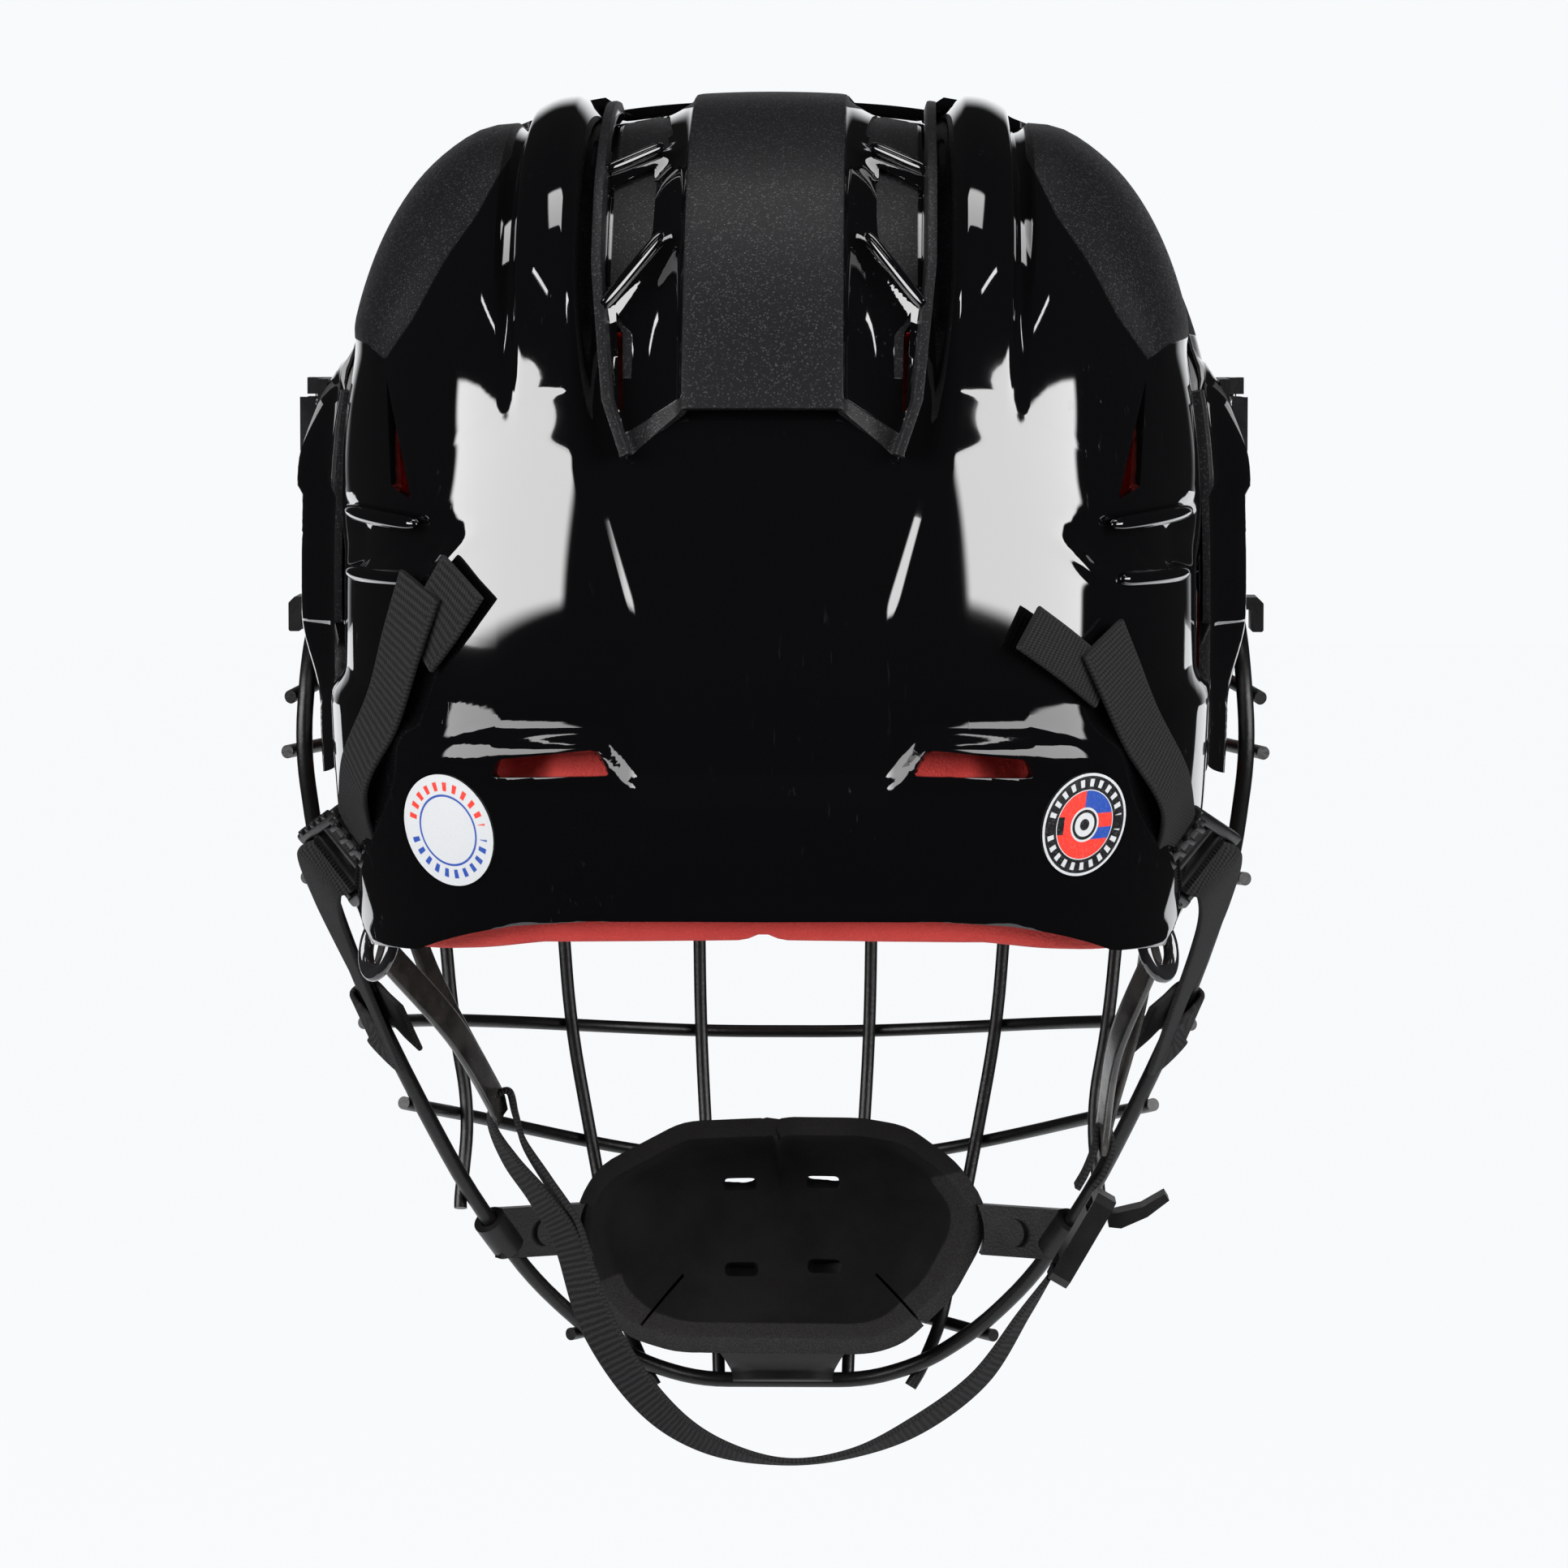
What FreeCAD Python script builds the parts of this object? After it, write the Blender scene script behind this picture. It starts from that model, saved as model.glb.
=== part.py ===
import FreeCAD, Part
import math
import os

import Sketcher
from FreeCAD import Placement, Rotation, Vector

# An ice hockey helmet with a hinged wire face cage, in millimetres.
# The origin is the middle of the wearer's head between the ears. +Z is up, +Y is the way
# the face points and +X is the wearer's right. "right" pieces lie at +X.

os.makedirs("parts", exist_ok=True)
doc = FreeCAD.newDocument("hockey_helmet")
sheet = doc.addObject("Spreadsheet::Sheet", "Sizes")

SIZES = {
    # shells
    "shell_wall": 2.8,
    "shell_level": 40.0,
    "side_roundness": 3.05,
    "end_roundness": 2.4,
    "rear_half_width": 101.0,
    "rear_back_reach": 134.0,
    "rear_top_reach": 125.0,
    "rear_low_reach": 130.0,
    "shell_lap": 10.0,
    "shell_side_step": 8.5,
    "front_reach": 140.0,
    "shell_crown_step": 3.7,
    "front_crown_edge": 12.0,
    "front_side_edge": 22.0,
    "ear_lobe_level": -8.0,
    "brim_level": 60.0,
    "nape_level": -22.0,
    "nape_corner_level": -32.0,
    "length_travel": 12.0,
    # centre panel over the crown, and the vents
    "panel_thickness": 2.4,
    "panel_half_width": 36.0,
    "panel_low_level": 84.0,
    "panel_vent_inner": 19.0,
    "panel_vent_outer": 32.0,
    "nape_vent_inner": 33.0,
    "nape_vent_outer": 60.0,
    "nape_vent_level": 15.5,
    "nape_vent_height": 7.0,
    "side_vent_height": 32.0,
    "side_vent_depth": 13.0,
    # liner
    "pad_thickness": 11.0,
    "pad_split": 3.0,
    "fit_gap": 0.3,
    # cage wire
    "rim_wire_radius": 2.0,
    "bar_wire_radius": 1.65,
    "wire_stub": 3.0,
    "weld_gap": 0.15,
    "rim_shell_gap": 0.7,
    "hinge_level": 76.0,
    "clip_half_spacing": 50.0,
    "bore_play": 0.07,
    # cage clips and their screws
    "clip_wall": 3.0,
    "brow_clip_width": 12.0,
    "brow_clip_rise": 22.0,
    "side_clip_length": 14.0,
    "side_clip_rise": 15.0,
    "side_clip_drop": 5.5,
    "screw_radius": 2.0,
    "screw_head_radius": 4.2,
    "screw_head_height": 1.8,
    "nut_radius": 6.5,
    "nut_thickness": 1.3,
    "hole_play": 0.1,
    # length lock lever
    "lever_length": 24.0,
    "lever_height": 13.0,
    "lever_thickness": 2.6,
    "lever_level": 87.0,
    "lever_pin_forward": 20.0,
    "lever_pin_radius": 0.9,
    "lever_ear_height": 4.0,
    # chin cup
    "cup_half_width": 52.0,
    "cup_depth": 36.0,
    "cup_half_height": 30.0,
    "cup_forward": 96.0,
    "cup_level": -124.0,
    "cup_wall": 2.2,
    "cup_pad_thickness": 5.0,
    "cup_slot_length": 9.0,
    "cup_slot_height": 3.6,
    "cup_slot_half_spacing": 11.0,
    "cup_slot_rise": 9.0,
    "cup_slot_drop": 13.0,
    "cup_arm_height": 13.0,
    "cup_arm_thickness": 3.0,
    "cup_tab_width": 26.0,
    "rivet_radius": 3.6,
    "rivet_height": 1.4,
    # straps
    "cage_strap_width": 15.0,
    "strap_thickness": 1.5,
    "ladder_width": 22.0,
    "ladder_height": 28.0,
    "ladder_thickness": 3.6,
    "ladder_slot": 4.2,
    "ear_loop_width": 9.0,
    "ear_loop_thickness": 1.8,
    "hook_size": 14.0,
    "hook_thickness": 3.0,
    "hook_hole_radius": 2.6,
    "chin_strap_width": 11.0,
    "buckle_width": 15.0,
    "buckle_height": 24.0,
    "buckle_thickness": 5.0,
    "buckle_lever_length": 13.0,
}


class Size:
    """A dimension that keeps its number and the expression that gives it."""

    def __init__(self, value, text):
        self.value = float(value)
        self.text = text

    def joined(self, other, sign, value, swap=False):
        first, second = self.text, other.text if isinstance(other, Size) else repr(float(other))
        if swap:
            first, second = second, first
        return Size(value, f"({first} {sign} {second})")

    def __add__(self, other):
        return self.joined(other, "+", self.value + float(other))

    def __radd__(self, other):
        return self.joined(other, "+", float(other) + self.value, True)

    def __sub__(self, other):
        return self.joined(other, "-", self.value - float(other))

    def __rsub__(self, other):
        return self.joined(other, "-", float(other) - self.value, True)

    def __mul__(self, other):
        return self.joined(other, "*", self.value * float(other))

    def __rmul__(self, other):
        return self.joined(other, "*", float(other) * self.value, True)

    def __truediv__(self, other):
        return self.joined(other, "/", self.value / float(other))

    def __neg__(self):
        return self * -1

    def __float__(self):
        return self.value


for row, (alias, number) in enumerate(SIZES.items(), 1):
    sheet.set(f"A{row}", alias)
    sheet.set(f"B{row}", str(number))
    sheet.setAlias(f"B{row}", alias)
doc.recompute()


class Sizes:
    """The sheet's cells: size.NAME is a Size to bind to, and its float is the number."""

    def __getattr__(self, alias):
        return Size(sheet.get(alias), "Sizes." + alias)


size = Sizes()


def num(alias):
    """The sheet's number for an alias."""
    return float(sheet.get(alias))


parts = []


def keep(obj, label):
    """Names a finished sub-part and lists it for the checks and the export."""
    obj.Label = label
    parts.append(obj)
    return obj


def shaped(label, shape, place=None):
    """A sub-part whose shape is worked out in code, for curved shells, wires and straps."""
    obj = doc.addObject("Part::Feature", label)
    obj.Shape = shape
    obj.Placement = place or Placement()
    return keep(obj, label)


def tool(name, shape):
    """A shape that only cuts others, and isn't a sub-part."""
    obj = doc.addObject("Part::Feature", name)
    obj.Shape = shape
    return obj


# ---------------------------------------------------------------- the shells' surfaces


class Dome:
    """A rounded closed form: superellipse sections across X, all about one level."""

    stations = (-0.985, -0.95, -0.88, -0.76, -0.58, -0.34, 0, 0.34, 0.58, 0.76, 0.88, 0.95, 0.985)
    points_round = 28

    def __init__(self, half_width, front, back, top, low):
        self.reach = (half_width, front, back, top, low)
        self.level = num("shell_level")
        self.side = num("side_roundness")
        self.end = num("end_roundness")

    def grown(self, by):
        return Dome(*(value + by for value in self.reach))

    def solid(self):
        half_width, front, back, top, low = self.reach
        wires = []
        for share in self.stations:
            scale = (1 - abs(share) ** self.side) ** (1 / self.side)
            ring = []
            for index in range(self.points_round):
                angle = 2 * math.pi * index / self.points_round
                c, s = math.cos(angle), math.sin(angle)
                across = abs(c / (front if c >= 0 else back)) ** self.end
                upright = abs(s / (top if s >= 0 else low)) ** self.end
                radius = scale * (across + upright) ** (-1 / self.end)
                ring.append(Vector(half_width * share, radius * c, self.level + radius * s))
            curve = Part.BSplineCurve()
            curve.interpolate(Points=ring, PeriodicFlag=True)
            wires.append(Part.Wire([curve.toShape()]))
        return Part.makeLoft(wires, True, False)

    def height_share(self, z):
        top, low = self.reach[3:]
        up = z - self.level
        return abs(up / (top if up >= 0 else low)) ** self.end

    def side_x(self, y, z):
        """Half the width at a place in side view."""
        half_width, front, back = self.reach[:3]
        radius = (abs(y / (front if y >= 0 else back)) ** self.end + self.height_share(z)) ** (1 / self.end)
        share = (1 - radius**self.side) ** (1 / self.side)
        return half_width * min(share, self.stations[-1])

    def front_y(self, x, z):
        """How far forward the surface is at a place in front view."""
        half_width, front = self.reach[:2]
        radius = (1 - abs(x / half_width) ** self.side) ** (1 / self.side)
        return front * (radius**self.end - self.height_share(z)) ** (1 / self.end)


wall = num("shell_wall")
gap = num("fit_gap")
front_half_width = size.rear_half_width + size.shell_side_step
front_top_reach = size.rear_top_reach + size.shell_crown_step
rear_reach = num("rear_back_reach")
front_reach = num("front_reach")
low_reach = num("rear_low_reach")
rear_dome = Dome(num("rear_half_width"), rear_reach, rear_reach, num("rear_top_reach"), low_reach)
front_dome = Dome(float(front_half_width), front_reach, front_reach, float(front_top_reach), low_reach)
FAR = 400.0  # past everything, for tools that cut right through


def side_prism(outline, x_from=-FAR, x_to=FAR):
    """A side view outline of (y, z) corners, run through from one x to another."""
    corners = [Vector(x_from, y, z) for y, z in outline]
    face = Part.Face(Part.makePolygon(corners + corners[:1]))
    return face.extrude(Vector(x_to - x_from, 0, 0))


def back_prism(outline, y_from=-FAR, y_to=0):
    """A rear view outline of (x, z) corners, run through from one y to another."""
    corners = [Vector(x, y_from, z) for x, z in outline]
    face = Part.Face(Part.makePolygon(corners + corners[:1]))
    return face.extrude(Vector(0, y_to - y_from, 0))


def layer(dome, inner, outer):
    """The solid between two offsets of a dome."""
    return dome.grown(outer).solid().cut(dome.grown(inner).solid())


def one_solid(shape):
    """The largest solid of a boolean's result, alone."""
    return max(shape.Solids, key=lambda solid: solid.Volume)


# ---------------------------------------------------------------- cage wire routes

rim_radius = num("rim_wire_radius")
bar_radius = num("bar_wire_radius")
hinge_z = num("hinge_level")
clip_x = num("clip_half_spacing")
wire_off = rim_radius + num("rim_shell_gap")
# The brow wire runs straight across at each brow clip, which is where the cage turns.
hinge_y = front_dome.front_y(clip_x - 12, hinge_z) + wire_off
side_wire_x = float(front_half_width) + wire_off + 1.2


def brow_point(x, z):
    return Vector(x, front_dome.front_y(x, z) + wire_off + 0.6, z)


# Half of the rim from the middle of the brow, over the ear and down to the chin. The brow's
# middle hangs below the hinge line, so that it clears the shell as the cage swings up.
clip_run = 12.0
RIM_HALF = [
    brow_point(0, hinge_z - 10),
    brow_point(clip_x - 25, hinge_z - 6.5),
    Vector(clip_x - clip_run, hinge_y, hinge_z),
    Vector(clip_x + clip_run, hinge_y, hinge_z),
    Vector(side_wire_x - 31.4, front_dome.front_y(side_wire_x - 35.4, 68) + wire_off + 2.2, 68),
    Vector(side_wire_x - 12.4, front_dome.front_y(side_wire_x - 15.4, 56) + wire_off + 4, 56),
    Vector(side_wire_x - 1, 60, 47),
    Vector(side_wire_x, 36, 38.5),
    Vector(side_wire_x + 0.4, 17, 30),
    Vector(side_wire_x + 1.8, 12.5, 8),
    Vector(side_wire_x - 1.9, 19, -23),
    Vector(side_wire_x - 10.4, 34, -52),
    Vector(side_wire_x - 21.4, 52, -80),
    Vector(79, 75, -110.5),
    Vector(64, 95, -135.5),
    Vector(51, 107, -150),
    Vector(37, 116, -160.5),
    Vector(22, 121.5, -166),
]
clip_bend = 18.0
tight_corners = {2: clip_bend, 3: clip_bend}  # beside the brow clips, so that the run stays straight
side_clip_y = 28.0
cup_wire_at = 13  # the rim's run from this point carries the chin cup's arm

FACE_MIDDLE = [
    # (level, how far forward) down the middle of the face
    (77, 143),
    (44, 149.5),
    (6, 157),
    (-36, 160),
    (-78, 158),
    (-111, 151),
    (-146, 137),
    (-166, 123),
]


def between(table, z):
    """Straight-line value at z of a falling table of (z, value)."""
    if z >= table[0][0]:
        return table[0][1]
    for (z1, v1), (z2, v2) in zip(table, table[1:]):
        if z >= z2:
            return v2 + (v1 - v2) * (z - z2) / (z1 - z2)
    return table[-1][1]


RIM_WIDTH = [(p.z, p.x) for p in RIM_HALF[7:]]
RIM_FORWARD = [(p.z, p.y) for p in RIM_HALF[7:]]


brim_clear = num("brim_level") - 9  # above this level the face stands off the front shell


def face_point(x, z, out=0.0):
    """A point of the cage's curved face, moved outwards by out."""
    rim_x, rim_y, mid_y = between(RIM_WIDTH, z), between(RIM_FORWARD, z), between(FACE_MIDDLE, z)
    share = min(abs(x) / rim_x, 1.0)
    y = rim_y + (mid_y - rim_y) * (1 - share**2.3) ** 0.75
    if z > brim_clear:
        y = max(y, front_dome.front_y(x, z) + wire_off + 1.8)
    middle = Vector(0, 20, z * 0.4)
    away = Vector(x, y, z) - middle
    away.normalize()
    return Vector(x, y, z) + away * out


def path(points, limits, closed=False):
    """Straight runs joined by tangent arcs, as large as the runs or a corner's own limit allow."""
    count = len(points)
    corners = []
    for index in range(count):
        if not closed and index in (0, count - 1):
            corners.append((points[index], points[index], None))
            continue
        here, before, after = points[index], points[index - 1], points[(index + 1) % count]
        into, out = here - before, after - here
        turn = into.getAngle(out)
        reach = 0.45 * min(into.Length, out.Length)
        if index in limits:
            reach = min(reach, limits[index] * math.tan(turn / 2))
        into.normalize()
        out.normalize()
        start, end = here - into * reach, here + out * reach
        bisector = out - into
        bisector.normalize()
        radius = reach / math.tan(turn / 2)
        centre = here + bisector * (radius / math.cos(turn / 2))
        middle = centre - bisector * radius
        corners.append((start, end, middle))
    edges = []
    for index, (start, end, middle) in enumerate(corners):
        if middle:
            edges.append(Part.Arc(start, middle, end).toShape())
        if index + 1 < count or closed:
            follow = corners[(index + 1) % count][0]
            edges.append(Part.LineSegment(end, follow).toShape())
    return Part.Wire(edges)


def tube(points, radius, closed=False, limits=()):
    """A round wire along a path."""
    line = path(points, dict(limits), closed)
    start = line.Edges[0].valueAt(line.Edges[0].FirstParameter)
    along = line.Edges[0].tangentAt(line.Edges[0].FirstParameter)
    ring = Part.Wire([Part.Circle(start, along, radius).toShape()])
    return line.makePipeShell([ring], True, False)


def mirrored(vector):
    return Vector(-vector.x, vector.y, vector.z)


def rim_points():
    right = RIM_HALF
    return right + [mirrored(p) for p in reversed(right[1:])]


def on_rim(z):
    """Where the rim's right half crosses a level below the ears, and its direction there."""
    for first, second in zip(RIM_HALF[7:], RIM_HALF[8:]):
        if second.z <= z <= first.z:
            step = second - first
            share = (first.z - z) / (first.z - second.z)
            place = first + step * share
            step.normalize()
            return place, step
    raise ValueError("the rim doesn't cross this level")


def welded_end(place, along_rim, towards):
    """The end of a bar that crosses outside the rim and stands past it by a stub."""
    along_bar = towards - place
    along_bar.normalize()
    out = along_rim.cross(along_bar)
    out.normalize()
    if out.dot(place - Vector(0, 20, place.z * 0.4)) < 0:
        out = out * -1
    crossing = place + out * (rim_radius + bar_radius + num("weld_gap"))
    return [crossing, crossing - along_bar * (rim_radius + num("wire_stub"))]


bar_layer = rim_radius + bar_radius + num("weld_gap")
LEVELS = {
    # name: level at the middle of the face, and where it meets the rim
    "brow": (45, 20),
    "eye": (6, 7),
    "nose": (-36, -24),
    "mouth": (-78, -62),
    "lip": (-112, -84),
    "chin": (-146, -150),
}
SPREAD = (0.86, 0.68, 0.46, 0.2)


def bar_points(middle_z, end_z):
    """A crossbar: its middle level, and the level where it meets the rim."""
    place, along = on_rim(end_z)
    half = []
    for share in SPREAD:
        z = middle_z + (end_z - middle_z) * share**2
        half.append(face_point(place.x * share, z, bar_layer))
    crossing, tip = welded_end(place, along, half[0])
    half = [tip, half[0] + (crossing - half[0]) * 0.97] + half
    return half + [mirrored(p) for p in reversed(half)]


bar_lines = {name: path(bar_points(*levels), {}).discretize(Number=900) for name, levels in LEVELS.items()}
POSTS = {
    # name: where it crosses each bar from the brow down, and the level where it meets the rim
    "inner": ({"brow": 24, "eye": 24, "nose": 24, "mouth": 23.5, "lip": 21.5, "chin": 18.5}, None),
    "middle": ({"brow": 62, "eye": 62, "nose": 61.5, "mouth": 58.5, "lip": 53, "chin": 44}, -161.5),
    "outer": ({"brow": 92, "eye": 92, "nose": 90.5, "mouth": 87, "lip": 83}, -112),
}


def bar_crossing(name, x):
    """A crossbar's place at a distance x to the right of the middle, and its direction there."""
    line = bar_lines[name]
    index = next(i for i, place in enumerate(line) if place.x <= x)
    step = line[index] - line[index - 1]
    share = (x - line[index - 1].x) / step.x
    place = line[index - 1] + step * share
    step.normalize()
    return place, step


def post_points(crossings, end_z):
    """An upright that is welded inside every crossbar and outside the rim at the ends it reaches."""
    on_bars = [bar_crossing(name, x) for name, x in crossings.items()]
    points = []
    for index, (place, along_bar) in enumerate(on_bars):
        above, below = on_bars[max(index - 1, 0)][0], on_bars[min(index + 1, len(on_bars) - 1)][0]
        inwards = along_bar.cross(below - above)
        inwards.normalize()
        if inwards.y > 0:
            inwards = inwards * -1
        # The bends beside the ends swing the upright outwards a little.
        bend_room = 0.35 if index in (0, len(on_bars) - 1) else 0.0
        points.append(place + inwards * (2 * bar_radius + num("weld_gap") + bend_room))
    reach = rim_radius + num("wire_stub")
    off = bar_layer + 0.7
    if end_z is None:
        brow = brow_point(points[0].x, hinge_z - 6.5)
        top = Vector(brow.x, brow.y + off, brow.z)
        low = RIM_HALF[-1]
        foot = Vector(points[-1].x - 0.7, low.y + off, low.z + 1)
        points = [top + Vector(0, -1.0, reach), top] + points
        return points + [foot, Vector(foot.x, low.y + off - 1.2, low.z - reach + 1)]
    stub = points[0] - points[1]
    stub.normalize()
    place, along_rim = on_rim(end_z)
    crossing, tip = welded_end(place, along_rim, points[-1])
    return [points[0] + stub * (bar_radius + num("wire_stub"))] + points[1:] + [crossing, tip]

# ---------------------------------------------------------------- shells, panel and liner

nape_z, corner_z, brim_z = num("nape_level"), num("nape_corner_level"), num("brim_level")
lobe_z, side_edge, crown_edge = num("ear_lobe_level"), num("front_side_edge"), num("front_crown_edge")
rear_edge = num("shell_lap") + num("length_travel")

REAR_OUTLINE = [
    (-FAR, FAR),
    (rear_edge, FAR),
    (rear_edge, 72),
    (0, 30),
    (-36, 2),
    (-50, corner_z + 8),
    (-68, corner_z - 1),
    (-95, corner_z + 1),
    (-122, nape_z),
    (-FAR, nape_z),
]
FRONT_OUTLINE = [
    (FAR, FAR),
    (crown_edge, FAR),
    (crown_edge, 128),
    (-side_edge, 96),
    (-side_edge, 4),
    (-side_edge + 12, lobe_z),
    (20, lobe_z),
    (30, 8),
    (44, 36),
    (60, 46),
    (100, brim_z - 8),
    (FAR, brim_z),
]



def outward(dome, point):
    """The direction away from a dome at a point, by the slope of its field."""

    def field(at):
        half_width, front, back = dome.reach[:3]
        across = abs(at.y / (front if at.y >= 0 else back)) ** dome.end
        radius = (across + dome.height_share(at.z)) ** (1 / dome.end)
        return (abs(at.x / half_width) ** dome.side + radius**dome.side) ** (1 / dome.side)

    steps = (Vector(0.01, 0, 0), Vector(0, 0.01, 0), Vector(0, 0, 0.01))
    way = Vector(*(field(point + step) - field(point - step) for step in steps))
    way.normalize()
    return way


screw_spots = []  # (place on the front shell, outward direction) of every screw through it
for side in (-1, 1):
    z = hinge_z + 14
    spot = Vector(side * clip_x, front_dome.front_y(clip_x, z), z)
    screw_spots.append((spot, outward(front_dome, spot)))
side_screw_z = 38.5 + rim_radius + num("fit_gap") + num("clip_wall") + 8
for side in (-1, 1):
    spot = Vector(side * front_dome.side_x(side_clip_y, side_screw_z), side_clip_y, side_screw_z)
    screw_spots.append((spot, Vector(side, 0, 0)))


def drill(spot, way, radius, depth_in, depth_out):
    """A round cutter about a screw's line, from inside the shell to outside it."""
    return Part.makeCylinder(radius, depth_in + depth_out, spot - way * depth_in, way)


def rear_shell_shape():
    shape = layer(rear_dome, -wall, 0).common(side_prism(REAR_OUTLINE))
    low = num("nape_vent_level") - num("nape_vent_height") / 2
    high = low + num("nape_vent_height")
    for side in (-1, 1):
        inner, outer = side * num("nape_vent_inner"), side * num("nape_vent_outer")
        slot = [(inner, low), (outer, low), (outer - side * 6, low + 1.5), (inner + side * 5, high)]
        shape = shape.cut(back_prism(slot))
        top = 98.0
        foot = top - num("side_vent_height")
        cut = [(-59, top), (-59 - num("side_vent_depth"), foot), (-57, foot + 3)]
        shape = shape.cut(side_prism(cut, side * 50, side * FAR))
        inner, outer = side * (num("panel_vent_inner") + 1.5), side * (num("panel_vent_outer") - 1.5)
        deep = [(inner, 136), (outer, 139), (outer, 151), (inner, 153)]
        shape = shape.cut(back_prism(deep, -FAR, -10))
    return one_solid(shape)


def front_shell_shape():
    shape = layer(front_dome, -wall, 0).common(side_prism(FRONT_OUTLINE))
    hole = num("screw_radius") + num("hole_play")
    for spot, way in screw_spots:
        shape = shape.cut(drill(spot, way, hole, 15, 15))
    vent = [(16, 100), (34, 96), (30, 108), (16, 112)]
    for side in (-1, 1):
        slot = [(side * x, z) for x, z in vent]
        shape = shape.cut(back_prism(slot, 60, FAR))
    return one_solid(shape)


def crown_panel_shape():
    """The matt centre panel that is clipped over the rear shell, with its side vents."""
    half, low = num("panel_half_width"), num("panel_low_level")
    inner, outer = num("panel_vent_inner"), num("panel_vent_outer")
    outline = [(-half, FAR), (-half, low + 12), (-half + 4, low), (-inner, low + 10)]
    outline += [(-x, z) for x, z in reversed(outline)]
    shape = layer(rear_dome, gap, gap + num("panel_thickness"))
    shape = shape.common(back_prism(outline, -FAR, crown_edge - 1.5))
    shape = shape.common(side_prism([(-FAR, 40), (-FAR, FAR), (20, FAR), (20, 40)]))
    for side in (-1, 1):
        lower = [(inner, low + 22), (outer, low + 16), (outer, 132), (inner, 124)]
        upper = [(inner, 136), (outer, 139), (outer, 153), (inner, 155)]
        for hole in (lower, upper):
            shape = shape.cut(back_prism([(side * x, z) for x, z in hole], -FAR, -8))
    return one_solid(shape)


shaped("rear_shell", rear_shell_shape())
shaped("front_shell", front_shell_shape())
shaped("crown_panel", crown_panel_shape())

split = num("pad_split")
thick = num("pad_thickness")
rear_lining = layer(rear_dome, -wall - gap - thick, -wall - gap)
front_lining = layer(front_dome, -wall - gap - thick, -wall - gap)
brow_lining = layer(front_dome, -wall - gap - thick - 3, -wall - gap)
PAD_BACK, PAD_TOP = -58.0, 112.0
nut_room = [drill(spot, way, num("nut_radius") + 1, 12, 2) for spot, way in screw_spots]


def pad(label, lining, outline, x_from=-FAR, x_to=FAR):
    shape = lining.common(side_prism(outline, x_from, x_to))
    for room in nut_room:
        shape = shape.cut(room)
    return shaped(label, one_solid(shape))


REAR_PAD = [
    (-FAR, PAD_TOP),
    (PAD_BACK, PAD_TOP),
    (PAD_BACK, 10),
    (-66, corner_z - 4),
    (-96, corner_z - 3),
    (-122, nape_z - 3),
    (-FAR, nape_z - 3),
]
CROWN_PAD = [
    (-FAR, FAR),
    (rear_edge - 4, FAR),
    (rear_edge - 4, PAD_TOP + split),
    (-FAR, PAD_TOP + split),
]
SIDE_PAD = [
    (rear_edge - 6, PAD_TOP),
    (rear_edge - 6, 74),
    (-6, 32),
    (-36, 8),
    (PAD_BACK + split, -2),
    (PAD_BACK + split, PAD_TOP),
]
TEMPLE_PAD = [(30, 84), (66, 84), (66, 52), (54, 44), (34, 18), (20, 2), (6, 2), (6, 26), (30, 60)]
pad("rear_pad", rear_lining, REAR_PAD)
pad("crown_pad", rear_lining, CROWN_PAD)
for name, start, stop in (("left", -FAR, -40), ("right", 40, FAR)):
    pad("side_pad_" + name, rear_lining, SIDE_PAD, start, stop)
    pad("temple_pad_" + name, front_lining, TEMPLE_PAD, start, stop)
pad("brow_pad", brow_lining, [(72, 116), (FAR, 116), (FAR, brim_z + 2), (100, brim_z - 5), (72, brim_z - 9)])

# ---------------------------------------------------------------- drawn pieces

shell_cutter = tool("front_shell_cutter", front_dome.grown(gap).solid())
rear_cutter = tool("rear_shell_cutter", rear_dome.grown(gap).solid())


def origin_plane(body, role):
    return next(item for item in body.Origin.OriginFeatures if item.Role == role)


def sketch(body, name, role, outline=(), circles=()):
    """A sketch on one of the body's planes: outlines of (x, y) sizes, and circles."""
    drawing = body.newObject("Sketcher::SketchObject", name)
    drawing.AttachmentSupport = [(origin_plane(body, role), "")]
    drawing.MapMode = "FlatFace"

    def fixed(kind, item, end, value):
        number = drawing.addConstraint(Sketcher.Constraint(kind, -1, 1, item, end, float(value)))
        if isinstance(value, Size):
            drawing.setExpression(f"Constraints[{number}]", value.text)

    loops = outline if outline and isinstance(outline[0], list) else [outline] if outline else []
    first = 0
    for corners in loops:
        count = len(corners)
        for index in range(count):
            (x1, y1), (x2, y2) = corners[index], corners[(index + 1) % count]
            line = Part.LineSegment(Vector(float(x1), float(y1), 0), Vector(float(x2), float(y2), 0))
            drawing.addGeometry(line, False)
        for index in range(count):
            follow = first + (index + 1) % count
            drawing.addConstraint(Sketcher.Constraint("Coincident", first + index, 2, follow, 1))
        for index, (x, y) in enumerate(corners):
            fixed("DistanceX", first + index, 1, x)
            fixed("DistanceY", first + index, 1, y)
        first += count
    for x, y, radius in circles:
        item = drawing.addGeometry(
            Part.Circle(Vector(float(x), float(y), 0), Vector(0, 0, 1), float(radius)), False
        )
        fixed("DistanceX", item, 3, x)
        fixed("DistanceY", item, 3, y)
        number = drawing.addConstraint(Sketcher.Constraint("Radius", item, float(radius)))
        if isinstance(radius, Size):
            drawing.setExpression(f"Constraints[{number}]", radius.text)
    return drawing


def bind(obj, prop, value):
    if isinstance(value, Size):
        obj.setExpression(prop, value.text)
    else:
        setattr(obj, prop, value)


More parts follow.
